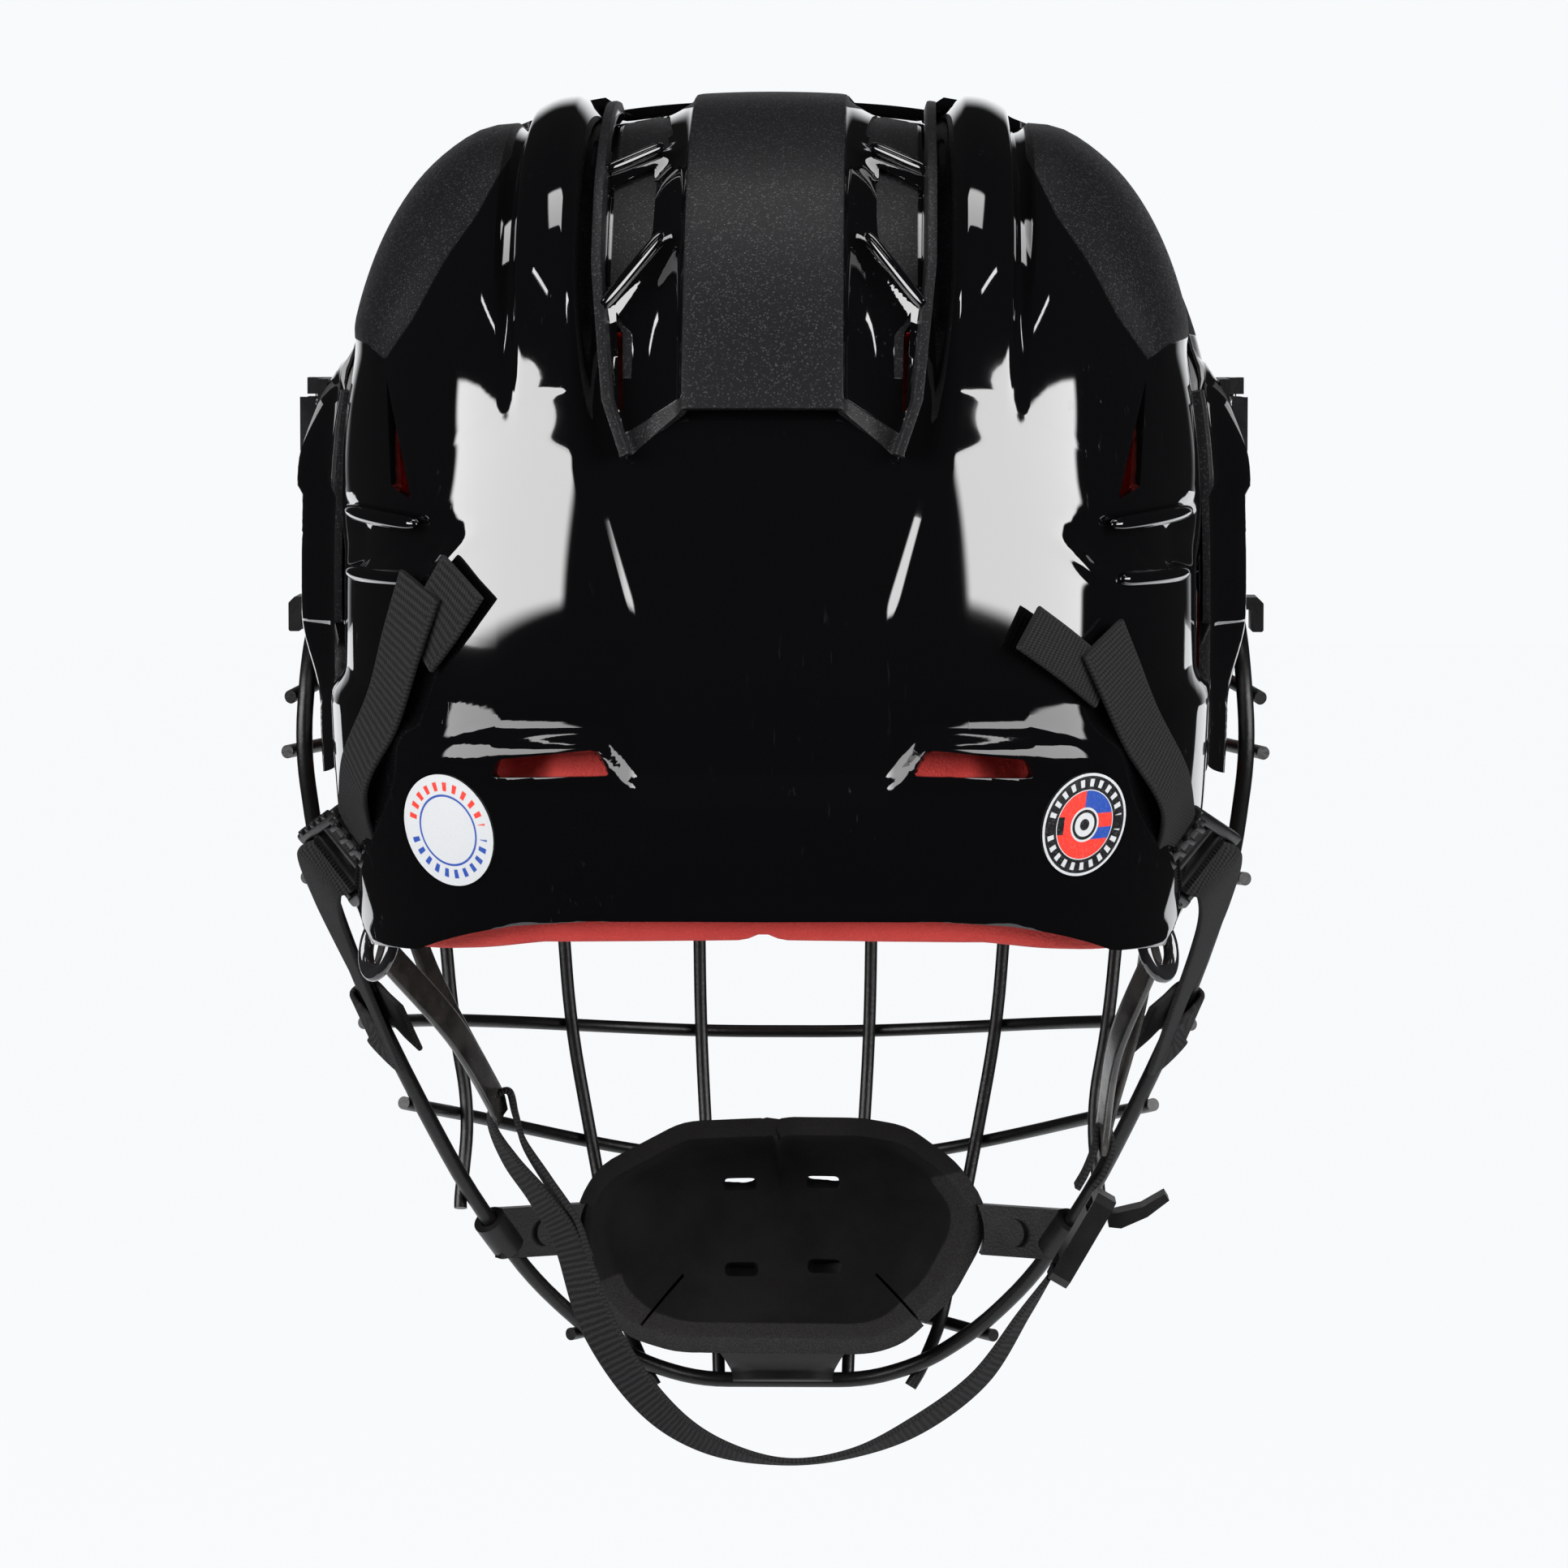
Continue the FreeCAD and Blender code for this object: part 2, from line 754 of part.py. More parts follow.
def padded(name, role, outline, length, circles=()):
    """A body with one pad. Its sketch faces along the plane's normal."""
    body = doc.addObject("PartDesign::Body", name)
    drawing = sketch(body, name + "_outline", role, outline, circles)
    feature = body.newObject("PartDesign::Pad", name + "_pad")
    feature.Profile = drawing
    bind(feature, "Length", length)
    doc.recompute()
    return body


def pocketed(body, name, role, outline=(), circles=(), towards_back=False):
    """A pocket through all of a body from one of its planes, proved by the volume it takes."""
    before = body.Shape.Volume
    drawing = sketch(body, name, role, outline, circles)
    feature = body.newObject("PartDesign::Pocket", name + "_cut")
    feature.Profile = drawing
    feature.Type = "ThroughAll"
    feature.Reversed = towards_back
    doc.recompute()
    if body.Shape.Volume > before - 0.01:
        raise RuntimeError(name + " cuts nothing")
    return body


def rounded(body, name, edges, radius):
    """A fillet on the body's edges that a test picks out."""
    picked = [f"Edge{i + 1}" for i, edge in enumerate(body.Shape.Edges) if edges(edge)]
    base = body.Tip
    feature = body.newObject("PartDesign::Fillet", name)
    feature.Base = (base, picked)
    bind(feature, "Radius", radius)
    doc.recompute()
    return body


def along(direction):
    """Picks the straight edges that run along a direction."""
    way = Vector(*direction)

    def test(edge):
        if edge.Curve.TypeId != "Part::GeomLine":
            return False
        return abs(edge.tangentAt(edge.FirstParameter).dot(way)) > 0.999

    return test


def move(body, x=0, y=0, z=0, rotation=None):
    """Places a body. Each coordinate is a Size, bound by expression, or a worked-out number."""
    body.Placement = Placement(Vector(float(x), float(y), float(z)), rotation or Rotation())
    for prop, value in (("x", x), ("y", y), ("z", z)):
        if isinstance(value, Size):
            body.setExpression("Placement.Base." + prop, value.text)
    return body


def cut_by(label, body, cutter):
    """A sub-part that is a body less the shell it lies on, so that its seat follows the shell."""
    obj = doc.addObject("Part::Cut", label)
    obj.Base = body
    obj.Tool = cutter
    doc.recompute()
    return keep(obj, label)


# Brow clips: a saddle about the brow wire, with a plate up the shell for its screw.
clip_wall = size.clip_wall
bore = size.rim_wire_radius + size.bore_play
ring = bore + clip_wall * 0.9
for name, side in (("left", -1), ("right", 1)):
    rise = size.brow_clip_rise
    outline = [
        (-ring - 6, -ring + 1.5),
        (-ring + 2.2, -ring),
        (ring - 1.5, -ring),
        (ring, -ring + 1.5),
        (ring, ring - 2),
        (clip_wall * 0.2, ring + 1.5),
        (-clip_wall * 1.5, rise),
        (-clip_wall * 1.5 - 9, rise),
        (-clip_wall * 1.5 - 12, 2),
    ]
    body = padded("brow_clip_body_" + name, "YZ_Plane", outline, size.brow_clip_width)
    pocketed(body, "wire_bore_" + name, "YZ_Plane", circles=[(0, 0, bore)], towards_back=True)
    move(body, side * size.clip_half_spacing - size.brow_clip_width / 2, hinge_y, size.hinge_level)
    spot, way = screw_spots[0 if side < 0 else 1]
    hole = drill(spot, way, num("screw_radius") + num("hole_play"), 15, 25)
    flat = drill(spot + way * (num("clip_wall") + 0.6), way, num("screw_head_radius") + 0.4, 0, 12)
    cutter = tool("brow_clip_cutter_" + name, front_dome.grown(gap).solid().fuse(hole).fuse(flat))
    cut_by("brow_clip_" + name, body, cutter)

# Side clips: a hook over the rim wire above the ear, with a plate for its screw.
roof_under = 38.5 + size.rim_wire_radius + size.fit_gap + 0.4
roof_top = roof_under + clip_wall
lip_inner = side_wire_x + size.rim_wire_radius + 0.8
for name, side in (("left", -1), ("right", 1)):
    deep = front_half_width - 9
    plate = front_half_width + clip_wall
    profile = [
        (deep, roof_top + size.side_clip_rise),
        (plate - 1, roof_top + size.side_clip_rise),
        (plate, roof_top + size.side_clip_rise - 2),
        (plate, roof_top + 1.5),
        (plate + 1.5, roof_top),
        (lip_inner + clip_wall - 1.5, roof_top),
        (lip_inner + clip_wall, roof_top - 1.5),
        (lip_inner + clip_wall, roof_under - size.side_clip_drop),
        (lip_inner, roof_under - size.side_clip_drop),
        (lip_inner, roof_under),
        (deep, roof_under),
    ]
    outline = [(side * x, z) for x, z in profile]
    body = padded("side_clip_body_" + name, "XZ_Plane", outline, size.side_clip_length)
    rounded(body, "side_clip_round_" + name, along((0, 1, 0)), 0.6)
    move(body, 0, side_clip_y + size.side_clip_length / 2, 0)
    spot, way = screw_spots[2 if side < 0 else 3]
    hole = drill(spot, way, num("screw_radius") + num("hole_play"), 15, 25)
    cutter = tool("side_clip_cutter_" + name, front_dome.grown(gap).solid().fuse(hole))
    cut_by("side_clip_" + name, body, cutter)


def fastener(name, spot, way, clip_thickness):
    """A pan head screw through a clip and the shell."""
    head = doc.addObject("Part::Cylinder", name + "_head")
    head.setExpression("Radius", size.screw_head_radius.text)
    head.setExpression("Height", size.screw_head_height.text)
    shank = doc.addObject("Part::Cylinder", name + "_shank")
    shank.setExpression("Radius", size.screw_radius.text)
    shank.Height = clip_thickness + num("shell_wall") + num("nut_thickness") + 1.3
    turn = Rotation(Vector(0, 0, 1), way)
    seat = spot + way * clip_thickness
    head.Placement = Placement(seat, turn)
    shank.Placement = Placement(seat - way * (float(shank.Height) - 0.5), turn)
    screw = doc.addObject("Part::Fuse", name)
    screw.Base = head
    screw.Tool = shank
    return screw


def nut(name, spot, way):
    """A flanged nut inside the shell, bored for its screw."""
    blank = doc.addObject("Part::Cylinder", name + "_blank")
    blank.setExpression("Radius", size.nut_radius.text)
    blank.setExpression("Height", size.nut_thickness.text)
    hole = doc.addObject("Part::Cylinder", name + "_hole")
    hole.setExpression("Radius", (size.screw_radius + size.bore_play).text)
    hole.setExpression("Height", (size.nut_thickness * 3).text)
    turn = Rotation(Vector(0, 0, 1), way * -1)
    seat = spot - way * (num("shell_wall") + 0.75)
    blank.Placement = Placement(seat, turn)
    hole.Placement = Placement(seat + way * num("nut_thickness"), turn)
    piece = doc.addObject("Part::Cut", name)
    piece.Base = blank
    piece.Tool = hole
    return piece


def group(label, members):
    obj = doc.addObject("Part::Compound", label)
    obj.Links = members
    return keep(obj, label)


brow_seat = num("clip_wall") + 0.6
side_seat = float(front_half_width) + num("clip_wall") - screw_spots[3][0].x
screws, nuts = [], []
for index, (spot, way) in enumerate(screw_spots):
    seat = brow_seat if index < 2 else side_seat
    screws.append(fastener(f"screw_{index}", spot, way, seat + 0.05))
    nuts.append(nut(f"nut_{index}", spot, way))
doc.recompute()
group("clip_screws", screws)
group("clip_nuts", nuts)

# Length locks: a base on the front shell with two ears, a pin and a flip lever.
lever_y = num("lever_pin_forward")
lever_z = num("lever_level")
pin_x = front_dome.side_x(lever_y, lever_z) + gap + 3.4
ear = size.lever_ear_height
half = size.lever_height / 2
for name, side in (("left", -1), ("right", 1)):
    low, high = -half - ear - size.fit_gap, half + ear + size.fit_gap
    base_in, base_out = -9.0, -size.lever_thickness / 2 - size.fit_gap * 2
    back, front = -size.lever_length - 2, 3.2
    outline = [
        (side * base_in, back),
        (side * base_out, back),
        (side * base_out, front),
        (side * base_in, front),
    ]
    if side < 0:
        outline.reverse()
    body = padded("lock_base_body_" + name, "XY_Plane", outline, high - low)
    move(body, side * pin_x, lever_y, lever_z - float(high))
    ears = []
    for index, start in enumerate((-half - size.fit_gap - ear, half + size.fit_gap)):
        reach = 2.6
        corner = [(-side * 4.0, -3.0), (side * reach, -3.0), (side * reach, 3.2), (-side * 4.0, 3.2)]
        if side < 0:
            corner.reverse()
        pin_hole = [(0, 0, size.lever_pin_radius + 0.02)]
        lug = padded(f"lock_ear_{name}_{index}", "XY_Plane", corner, ear, circles=pin_hole)
        move(lug, side * pin_x, lever_y, lever_z + start)
        ears.append(lug)
    joined = doc.addObject("Part::MultiFuse", "lock_base_blank_" + name)
    joined.Shapes = [body] + ears
    cut_by("lock_base_" + name, joined, shell_cutter)
    pin = doc.addObject("Part::Cylinder", "lock_pin_" + name)
    pin.setExpression("Radius", size.lever_pin_radius.text)
    pin.setExpression("Height", (size.lever_height + ear * 2 + size.fit_gap * 2).text)
    pin.Placement = Placement(Vector(side * pin_x, lever_y, lever_z - float(high)), Rotation())
    keep(pin, "lock_pin_" + name)
    knuckle = size.lever_thickness / 2
    flap = [
        (side * -knuckle, -size.lever_length),
        (side * (knuckle + 1.2), -size.lever_length),
        (side * knuckle, -size.lever_length + 4),
        (side * knuckle, knuckle * 0.6),
        (side * knuckle * 0.5, knuckle * 1.1),
        (side * -knuckle * 0.5, knuckle * 1.1),
        (side * -knuckle, knuckle * 0.6),
    ]
    if side < 0:
        flap.reverse()
    bored = [(0, 0, size.lever_pin_radius + size.bore_play)]
    lever = padded("lock_lever_" + name, "XY_Plane", flap, size.lever_height, circles=bored)
    move(lever, side * pin_x, lever_y, lever_z - half)
    keep(lever, "lock_lever_" + name)

# Corner hooks: small plates on the rear shell's lower corners that hold the ear loops.
hook_y, hook_z = -66.0, corner_z + 3
hook_x = rear_dome.side_x(hook_y, hook_z) + gap
for name, side in (("left", -1), ("right", 1)):
    half_hook = size.hook_size / 2
    top = half_hook - 5
    outline = [
        (-half_hook, top - 2),
        (-half_hook, -half_hook),
        (-half_hook + 3, -half_hook - 4),
        (half_hook - 3, -half_hook - 4),
        (half_hook, -half_hook),
        (half_hook, top),
    ]
    eye = [(0, -half_hook, size.hook_hole_radius)]
    body = padded("hook_body_" + name, "YZ_Plane", outline, size.hook_thickness + 6, circles=eye)
    shift = hook_x + num("hook_thickness") if side > 0 else -hook_x + 6
    move(body, shift - (size.hook_thickness + 6), hook_y, hook_z)
    cut_by("corner_hook_" + name, body, rear_cutter)

# ---------------------------------------------------------------- the cage

limits = {}
for corner, bend in tight_corners.items():
    limits[corner] = bend
    limits[len(rim_points()) - corner] = bend
shaped("cage_rim", tube(rim_points(), rim_radius, closed=True, limits=limits))
for name, (middle_z, end_z) in LEVELS.items():
    shaped("cage_bar_" + name, tube(bar_points(middle_z, end_z), bar_radius))


for name, (crossings, end_z) in POSTS.items():
    right = post_points(crossings, end_z)
    shaped("cage_post_" + name + "_right", tube(right, bar_radius))
    shaped("cage_post_" + name + "_left", tube([mirrored(p) for p in right], bar_radius))

# ---------------------------------------------------------------- chin cup

cup_centre = Vector(0, num("cup_forward"), num("cup_level"))


def cup_form(name, inset):
    """An ellipsoid of the cup, smaller all round by an inset."""
    form = doc.addObject("Part::Ellipsoid", name)
    form.setExpression("Radius1", (size.cup_half_height - inset).text)
    form.setExpression("Radius2", (size.cup_half_width - inset).text)
    form.setExpression("Radius3", (size.cup_depth - inset).text)
    move(form, 0, size.cup_forward, size.cup_level)
    return form


def cup_layer(label, outer, inner, rim):
    """The part of the cup between two insets, open to the back, with its see-through slots."""
    shell = doc.addObject("Part::Cut", label + "_wall")
    shell.Base = cup_form(label + "_outer", outer)
    shell.Tool = cup_form(label + "_inner", inner)
    mouth = doc.addObject("Part::Box", label + "_mouth")
    mouth.setExpression("Length", (size.cup_half_width * 4).text)
    mouth.setExpression("Width", (size.cup_depth * 2).text)
    mouth.setExpression("Height", (size.cup_half_height * 4).text)
    back = size.cup_forward - size.cup_depth * 2 + rim
    move(mouth, -2 * size.cup_half_width, back, size.cup_level - size.cup_half_height * 2)
    tools = [mouth]
    for row, lift in (("high", size.cup_slot_rise), ("low", -size.cup_slot_drop)):
        for column, side in (("left", -1), ("right", 1)):
            slot = doc.addObject("Part::Box", f"{label}_slot_{row}_{column}")
            slot.setExpression("Length", size.cup_slot_length.text)
            slot.setExpression("Width", (size.cup_depth * 2).text)
            slot.setExpression("Height", size.cup_slot_height.text)
            start = side * size.cup_slot_half_spacing - size.cup_slot_length / 2
            move(slot, start, size.cup_forward, size.cup_level + lift - size.cup_slot_height / 2)
            tools.append(slot)
    cutters = doc.addObject("Part::MultiFuse", label + "_cutters")
    cutters.Shapes = tools
    return cut_by(label, shell, cutters)


cup_layer("chin_cup_shell", 0.0 * size.fit_gap, size.cup_wall, 2.0)
pad_face = size.cup_wall + size.fit_gap
cup_layer("chin_cup_pad", pad_face, pad_face + size.cup_pad_thickness, 1.0)

cup_keepout = tool("cup_keepout", Part.Shape())
keepout = Part.makeSphere(1.0)
matrix = FreeCAD.Matrix()
matrix.scale(num("cup_half_width") + gap, num("cup_depth") + gap, num("cup_half_height") + gap)
keepout = keepout.transformGeometry(matrix)
keepout.translate(cup_centre)
cup_keepout.Shape = keepout

# The tab under the cup, bored for the rim's lowest run.
low_run = RIM_HALF[-1]
tab_bore = size.rim_wire_radius + size.bore_play
outline = [
    (-6.0, 19.5),
    (-2.2, 19.5),
    (4.8, 2.5),
    (4.8, -2.8),
    (2.8, -4.8),
    (-2.8, -4.8),
    (-4.8, -2.8),
    (-4.8, 3.5),
    (-13.0, 15.0),
    (-13.0, 19.5),
]
tab = padded("cup_tab_body", "YZ_Plane", outline, size.cup_tab_width)
pocketed(tab, "cup_tab_bore", "YZ_Plane", circles=[(0, 0, tab_bore)], towards_back=True)
move(tab, -size.cup_tab_width / 2, low_run.y, low_run.z)
cut_by("chin_cup_tab", tab, cup_keepout)


def frame_of(x_way, z_way):
    """A rotation whose local X follows x_way and whose local Z is nearest z_way."""
    x_way = Vector(x_way)
    x_way.normalize()
    y_way = Vector(z_way).cross(x_way)
    y_way.normalize()
    z_true = x_way.cross(y_way)
    return Rotation(x_way, y_way, z_true, "XYZ")


# The arms at the cup's sides, each with a sleeve about the rim.
arm_share = 0.46
arm_start = RIM_HALF[cup_wire_at]
arm_run = RIM_HALF[cup_wire_at + 1] - arm_start
rivets = []
for name, side in (("left", -1), ("right", 1)):
    at = arm_start + arm_run * arm_share
    way = Vector(arm_run)
    way.normalize()
    if side < 0:
        at, way = mirrored(at), mirrored(way)
    root = cup_centre + Vector(side * (num("cup_half_width") - 6), 7, 1)
    reach = root - at
    thick_arm = num("cup_arm_thickness")
    plate = Part.makeBox(reach.Length, thick_arm, num("cup_arm_height"))
    plate.translate(Vector(0, -thick_arm / 2, -num("cup_arm_height") / 2))
    plate.Placement = Placement(at, frame_of(reach, Vector(0, 0, 1))).multiply(plate.Placement)
    sleeve = Part.makeCylinder(rim_radius + 2.2, 11, at - way * 5.5, way)
    bore_cut = Part.makeCylinder(rim_radius + 0.25, 60, at - way * 30, way)
    turn = frame_of(reach, Vector(0, 0, 1))
    across = turn.multVec(Vector(0, 1, 0))
    if across.y > 0:
        across = across * -1
    middle = at + reach * 0.42
    shank_hole = Part.makeCylinder(1.6 + num("hole_play"), 20, middle - across * 10, across)
    arm = plate.fuse(sleeve).cut(bore_cut).cut(keepout).cut(shank_hole)
    shaped("cup_arm_" + name, one_solid(arm))
    head = doc.addObject("Part::Cylinder", "rivet_head_" + name)
    head.setExpression("Radius", size.rivet_radius.text)
    head.setExpression("Height", size.rivet_height.text)
    head.Placement = Placement(middle + across * (thick_arm / 2 + 0.05), Rotation(Vector(0, 0, 1), across))
    shank = doc.addObject("Part::Cylinder", "rivet_shank_" + name)
    shank.Radius = 1.6
    shank.setExpression("Height", (size.cup_arm_thickness + 1).text)
    shank.Placement = Placement(middle - across * (thick_arm / 2), Rotation(Vector(0, 0, 1), across))
    rivet = doc.addObject("Part::Fuse", "rivet_" + name)
    rivet.Base = head
    rivet.Tool = shank
    rivets.append(rivet)
doc.recompute()
group("cup_rivets", rivets)

# ---------------------------------------------------------------- straps



def rectangle(start, end, half_width):
    return [(start, -half_width), (end, -half_width), (end, half_width), (start, half_width)]


strap = num("strap_thickness")
strap_width = num("cage_strap_width")
lock_y, lock_z = -72.0, -11.0
lock_seat = Vector(rear_dome.side_x(lock_y, lock_z), lock_y, lock_z)
lock_out = outward(rear_dome, lock_seat)
lock_up = Vector(-0.16, -0.22, 1.0)
lock_centre = lock_seat + lock_out * (num("ladder_thickness") / 2 + gap)

for name, side in (("left", -1), ("right", 1)):
    centre = lock_centre if side > 0 else mirrored(lock_centre)
    up = lock_up if side > 0 else mirrored(lock_up)
    out = lock_out if side > 0 else mirrored(lock_out)
    half_width, half_height = size.ladder_width / 2, size.ladder_height / 2
    slot_half = size.cage_strap_width / 2 + 0.5
    slot = size.ladder_slot
    loops = [rectangle(-half_height, half_height, half_width)]
    for start in (-half_height + 3, half_height - 3 - slot, -slot / 2):
        loops.append(rectangle(start, start + slot, slot_half))
    lock = padded("ladder_lock_" + name, "XY_Plane", loops, size.ladder_thickness)
    rounded(lock, "ladder_round_" + name, along((0, 0, 1)), 1.0)
    turn = frame_of(up - out * up.dot(out), out)
    lift = turn.multVec(Vector(0, 0, -num("ladder_thickness") / 2))
    move(lock, centre.x + lift.x, centre.y + lift.y, centre.z + lift.z, turn)
    keep(lock, "ladder_lock_" + name)

# The tails lie on the rear shell, from above each ladder lock round towards the back.
TAILS = {
    "left": (-1, [(87, 9), (97, 7), (78, 62), (63, 57)]),
    "right": (1, [(83, 6), (95, 8), (84, 47), (66, 42)]),
}
tail_layer = layer(rear_dome, gap + 0.1, gap + 0.1 + strap)
for name, (side, outline) in TAILS.items():
    band = back_prism([(side * x, z) for x, z in outline], -FAR, -20)
    shaped("strap_tail_" + name, one_solid(tail_layer.common(band)))

# The lower straps run from each ladder lock to a loop about the rim.
loop_at, loop_way = on_rim(-44)
for name, side in (("left", -1), ("right", 1)):
    at = loop_at if side > 0 else mirrored(loop_at)
    way = loop_way if side > 0 else mirrored(loop_way)
    centre = lock_centre if side > 0 else mirrored(lock_centre)
    up = Vector(lock_up)
    up.normalize()
    if side < 0:
        up = mirrored(up)
    foot = centre - up * (num("ladder_height") / 2 + 4.5) + Vector(side * 2.5, 9, -2)
    run = foot - at
    band = Part.makeBox(run.Length, strap_width, 2 * strap)
    band.translate(Vector(0, -strap_width / 2, -strap))
    band.Placement = Placement(at, frame_of(run, Vector(side, 0, 0))).multiply(band.Placement)
    sleeve = Part.makeCylinder(rim_radius + 0.35 + strap, strap_width, at - way * (strap_width / 2), way)
    clear = Part.makeCylinder(rim_radius + 0.35, 120, at - way * 60, way)
    shaped("cage_strap_" + name, one_solid(band.fuse(sleeve).cut(clear)))


def ribbon(points, across, width, thickness):
    """A flat strap along a smooth line of points that all lie square to its width."""
    sides = ([], [])
    for index, point in enumerate(points):
        before, after = points[max(index - 1, 0)], points[min(index + 1, len(points) - 1)]
        normal = (after - before).cross(across)
        normal.normalize()
        for row, sign in zip(sides, (1, -1)):
            row.append(point + normal * (sign * thickness / 2) - across * (width / 2))
    curves = []
    for row in sides:
        curve = Part.BSplineCurve()
        curve.interpolate(Points=row)
        curves.append(curve.toShape())
    ends = [Part.LineSegment(sides[0][i], sides[1][i]).toShape() for i in (0, -1)]
    face = Part.Face(Part.Wire(Part.__sortEdges__(curves + ends)))
    return face.extrude(across * width)


# Ear loops: two moulded legs from the rear shell down to the chin strap's ring.
APEX = {"left": Vector(-66, -16, -78), "right": Vector(78, -16, -85)}
for name, side in (("left", -1), ("right", 1)):
    apex = APEX[name]
    leg_back = Vector(side * (hook_x - 7.6), hook_y + 1, hook_z - 7)
    leg_front = Vector(side * (rear_dome.side_x(-42, -6) - 7.0), -42, -6)
    legs = []
    for top in (leg_back, leg_front):
        run = top - apex
        plate = Part.makeBox(run.Length, num("ear_loop_width"), num("ear_loop_thickness"))
        plate.translate(Vector(0, -num("ear_loop_width") / 2, -num("ear_loop_thickness") / 2))
        plate.Placement = Placement(apex, frame_of(run, Vector(side, 0, 0.4))).multiply(plate.Placement)
        legs.append(plate)
    shaped("ear_loop_" + name, one_solid(legs[0].fuse(legs[1])))

# The chin strap hangs between the ear loops. Its buckle sits on the right.
strap_across = Vector(0, 1, 0)
hang_y = -14.0
buckle_x, buckle_z = 72.2, -107.0
tilt = Rotation(Vector(0, 1, 0), 30)


def on_buckle(height):
    """The middle of the buckle's thickness at a height along it."""
    return Vector(buckle_x, hang_y, buckle_z) + tilt.multVec(Vector(num("buckle_thickness") / 2, 0, height))


buckle_end = num("buckle_height") / 2 + gap + 0.1
hang = [
    (-63.1, -76),
    (-63.4, -81),
    (-61.4, -88),
    (-55, -98),
    (-49, -109),
    (-42, -130),
    (-30, -148),
    (-16, -158.5),
    (2, -163),
    (19, -161),
    (35, -154),
    (50, -142.5),
]
line = [Vector(x, hang_y, z) for x, z in hang]
line += [on_buckle(-buckle_end - 12), on_buckle(-buckle_end)]
shaped("chin_strap", ribbon(line, strap_across, num("chin_strap_width"), strap))
link = [on_buckle(buckle_end), on_buckle(buckle_end + 4), Vector(81.5, hang_y, -88), Vector(81.0, hang_y, -82)]
shaped("chin_strap_link", ribbon(link, strap_across, num("chin_strap_width"), strap))

# The chin buckle: a body with a slot at each end, and a release lever on its outer side.
half_height, half_width = size.buckle_height / 2, size.buckle_width / 2
quarter = [(half_width, half_height - 2), (half_width - 2, half_height)]
upper = quarter + [(-x, y) for x, y in reversed(quarter)]
outline = [upper + [(x, -y) for x, y in reversed(upper)]]
for start in (-half_height + 2.5, half_height - 5.5):
    slot_half = size.chin_strap_width / 2 + 0.4
    outline.append([(x, y) for y, x in rectangle(start, start + 3, slot_half)])
body = padded("chin_buckle", "YZ_Plane", outline, size.buckle_thickness)
move(body, buckle_x, hang_y, buckle_z, tilt)
keep(body, "chin_buckle")
lever_pin = Vector(buckle_x, hang_y, buckle_z) + tilt.multVec(Vector(num("buckle_thickness") + 2.0, 0, 8.0))
lever_shape = [
    (-1.5, -1.5),
    (1.5, -1.8),
    (size.buckle_lever_length * 0.6, 1.0),
    (size.buckle_lever_length, 5.0),
    (size.buckle_lever_length - 1.0, 6.6),
    (size.buckle_lever_length * 0.5, 3.4),
    (-1.5, 1.5),
]
lever = padded("chin_buckle_lever", "XZ_Plane", lever_shape, size.chin_strap_width - 1)
move(lever, lever_pin.x, hang_y + (size.chin_strap_width - 1) / 2, lever_pin.z)
keep(lever, "chin_buckle_lever")

# ---------------------------------------------------------------- checks and export

doc.recompute()
for obj in doc.Objects:
    if "Invalid" in obj.State or "Error" in obj.State:
        raise RuntimeError(f"{obj.Name} ({obj.Label}) failed: {obj.State}")
for obj in parts:
    if obj.Shape.isNull() or not obj.Shape.isValid() or not obj.Shape.Solids:
        raise RuntimeError(f"{obj.Label} has no valid solid")
for obj in parts:
    obj.Shape.exportStep(f"parts/{obj.Label}.step")
print(len(parts), "sub-parts written")
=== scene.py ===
import math
from contextlib import contextmanager

import bmesh
import bpy
import numpy as np
from bpy.props import FloatProperty, FloatVectorProperty, PointerProperty
from mathutils import Matrix, Vector


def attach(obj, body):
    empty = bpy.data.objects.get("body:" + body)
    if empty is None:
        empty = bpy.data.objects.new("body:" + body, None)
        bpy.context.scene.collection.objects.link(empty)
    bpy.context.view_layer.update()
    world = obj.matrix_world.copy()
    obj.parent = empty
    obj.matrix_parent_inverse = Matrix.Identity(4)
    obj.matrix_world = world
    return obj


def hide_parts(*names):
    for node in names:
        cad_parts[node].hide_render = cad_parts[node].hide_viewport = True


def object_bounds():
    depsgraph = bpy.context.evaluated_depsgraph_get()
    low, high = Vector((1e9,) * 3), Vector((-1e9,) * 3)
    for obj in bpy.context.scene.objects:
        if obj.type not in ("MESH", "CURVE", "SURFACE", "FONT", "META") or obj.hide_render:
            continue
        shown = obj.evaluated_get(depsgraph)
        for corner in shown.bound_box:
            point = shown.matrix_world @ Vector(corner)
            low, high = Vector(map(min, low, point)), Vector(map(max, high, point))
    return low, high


bl_info = {
    "name": "Hockey Helmet with Cage",
    "version": (1, 0, 0),
    "blender": (4, 5, 0),
    "location": "3D View > Sidebar > Helmet",
    "description": "Builds the shells, liner, chin cup, straps and finishes of an ice hockey helmet",
    "category": "Object",
}

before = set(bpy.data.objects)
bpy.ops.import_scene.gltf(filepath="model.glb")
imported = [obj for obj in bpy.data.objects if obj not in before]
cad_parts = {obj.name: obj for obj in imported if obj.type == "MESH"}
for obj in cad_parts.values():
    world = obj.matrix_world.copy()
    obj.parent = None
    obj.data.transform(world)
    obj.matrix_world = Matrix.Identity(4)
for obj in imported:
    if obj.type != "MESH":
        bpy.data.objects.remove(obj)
CAD_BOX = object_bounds()
MM = 0.001
SIDES = (("left", -1), ("right", 1))
# The matt mask is a distance into the matt area, so this is well outside it.
ALL_GLOSS = -5.0


# ------------------------------------------------------------------ sizes and colours


def size(name, text, default):
    return FloatProperty(name=name, description=text, default=default, unit="LENGTH", precision=4)


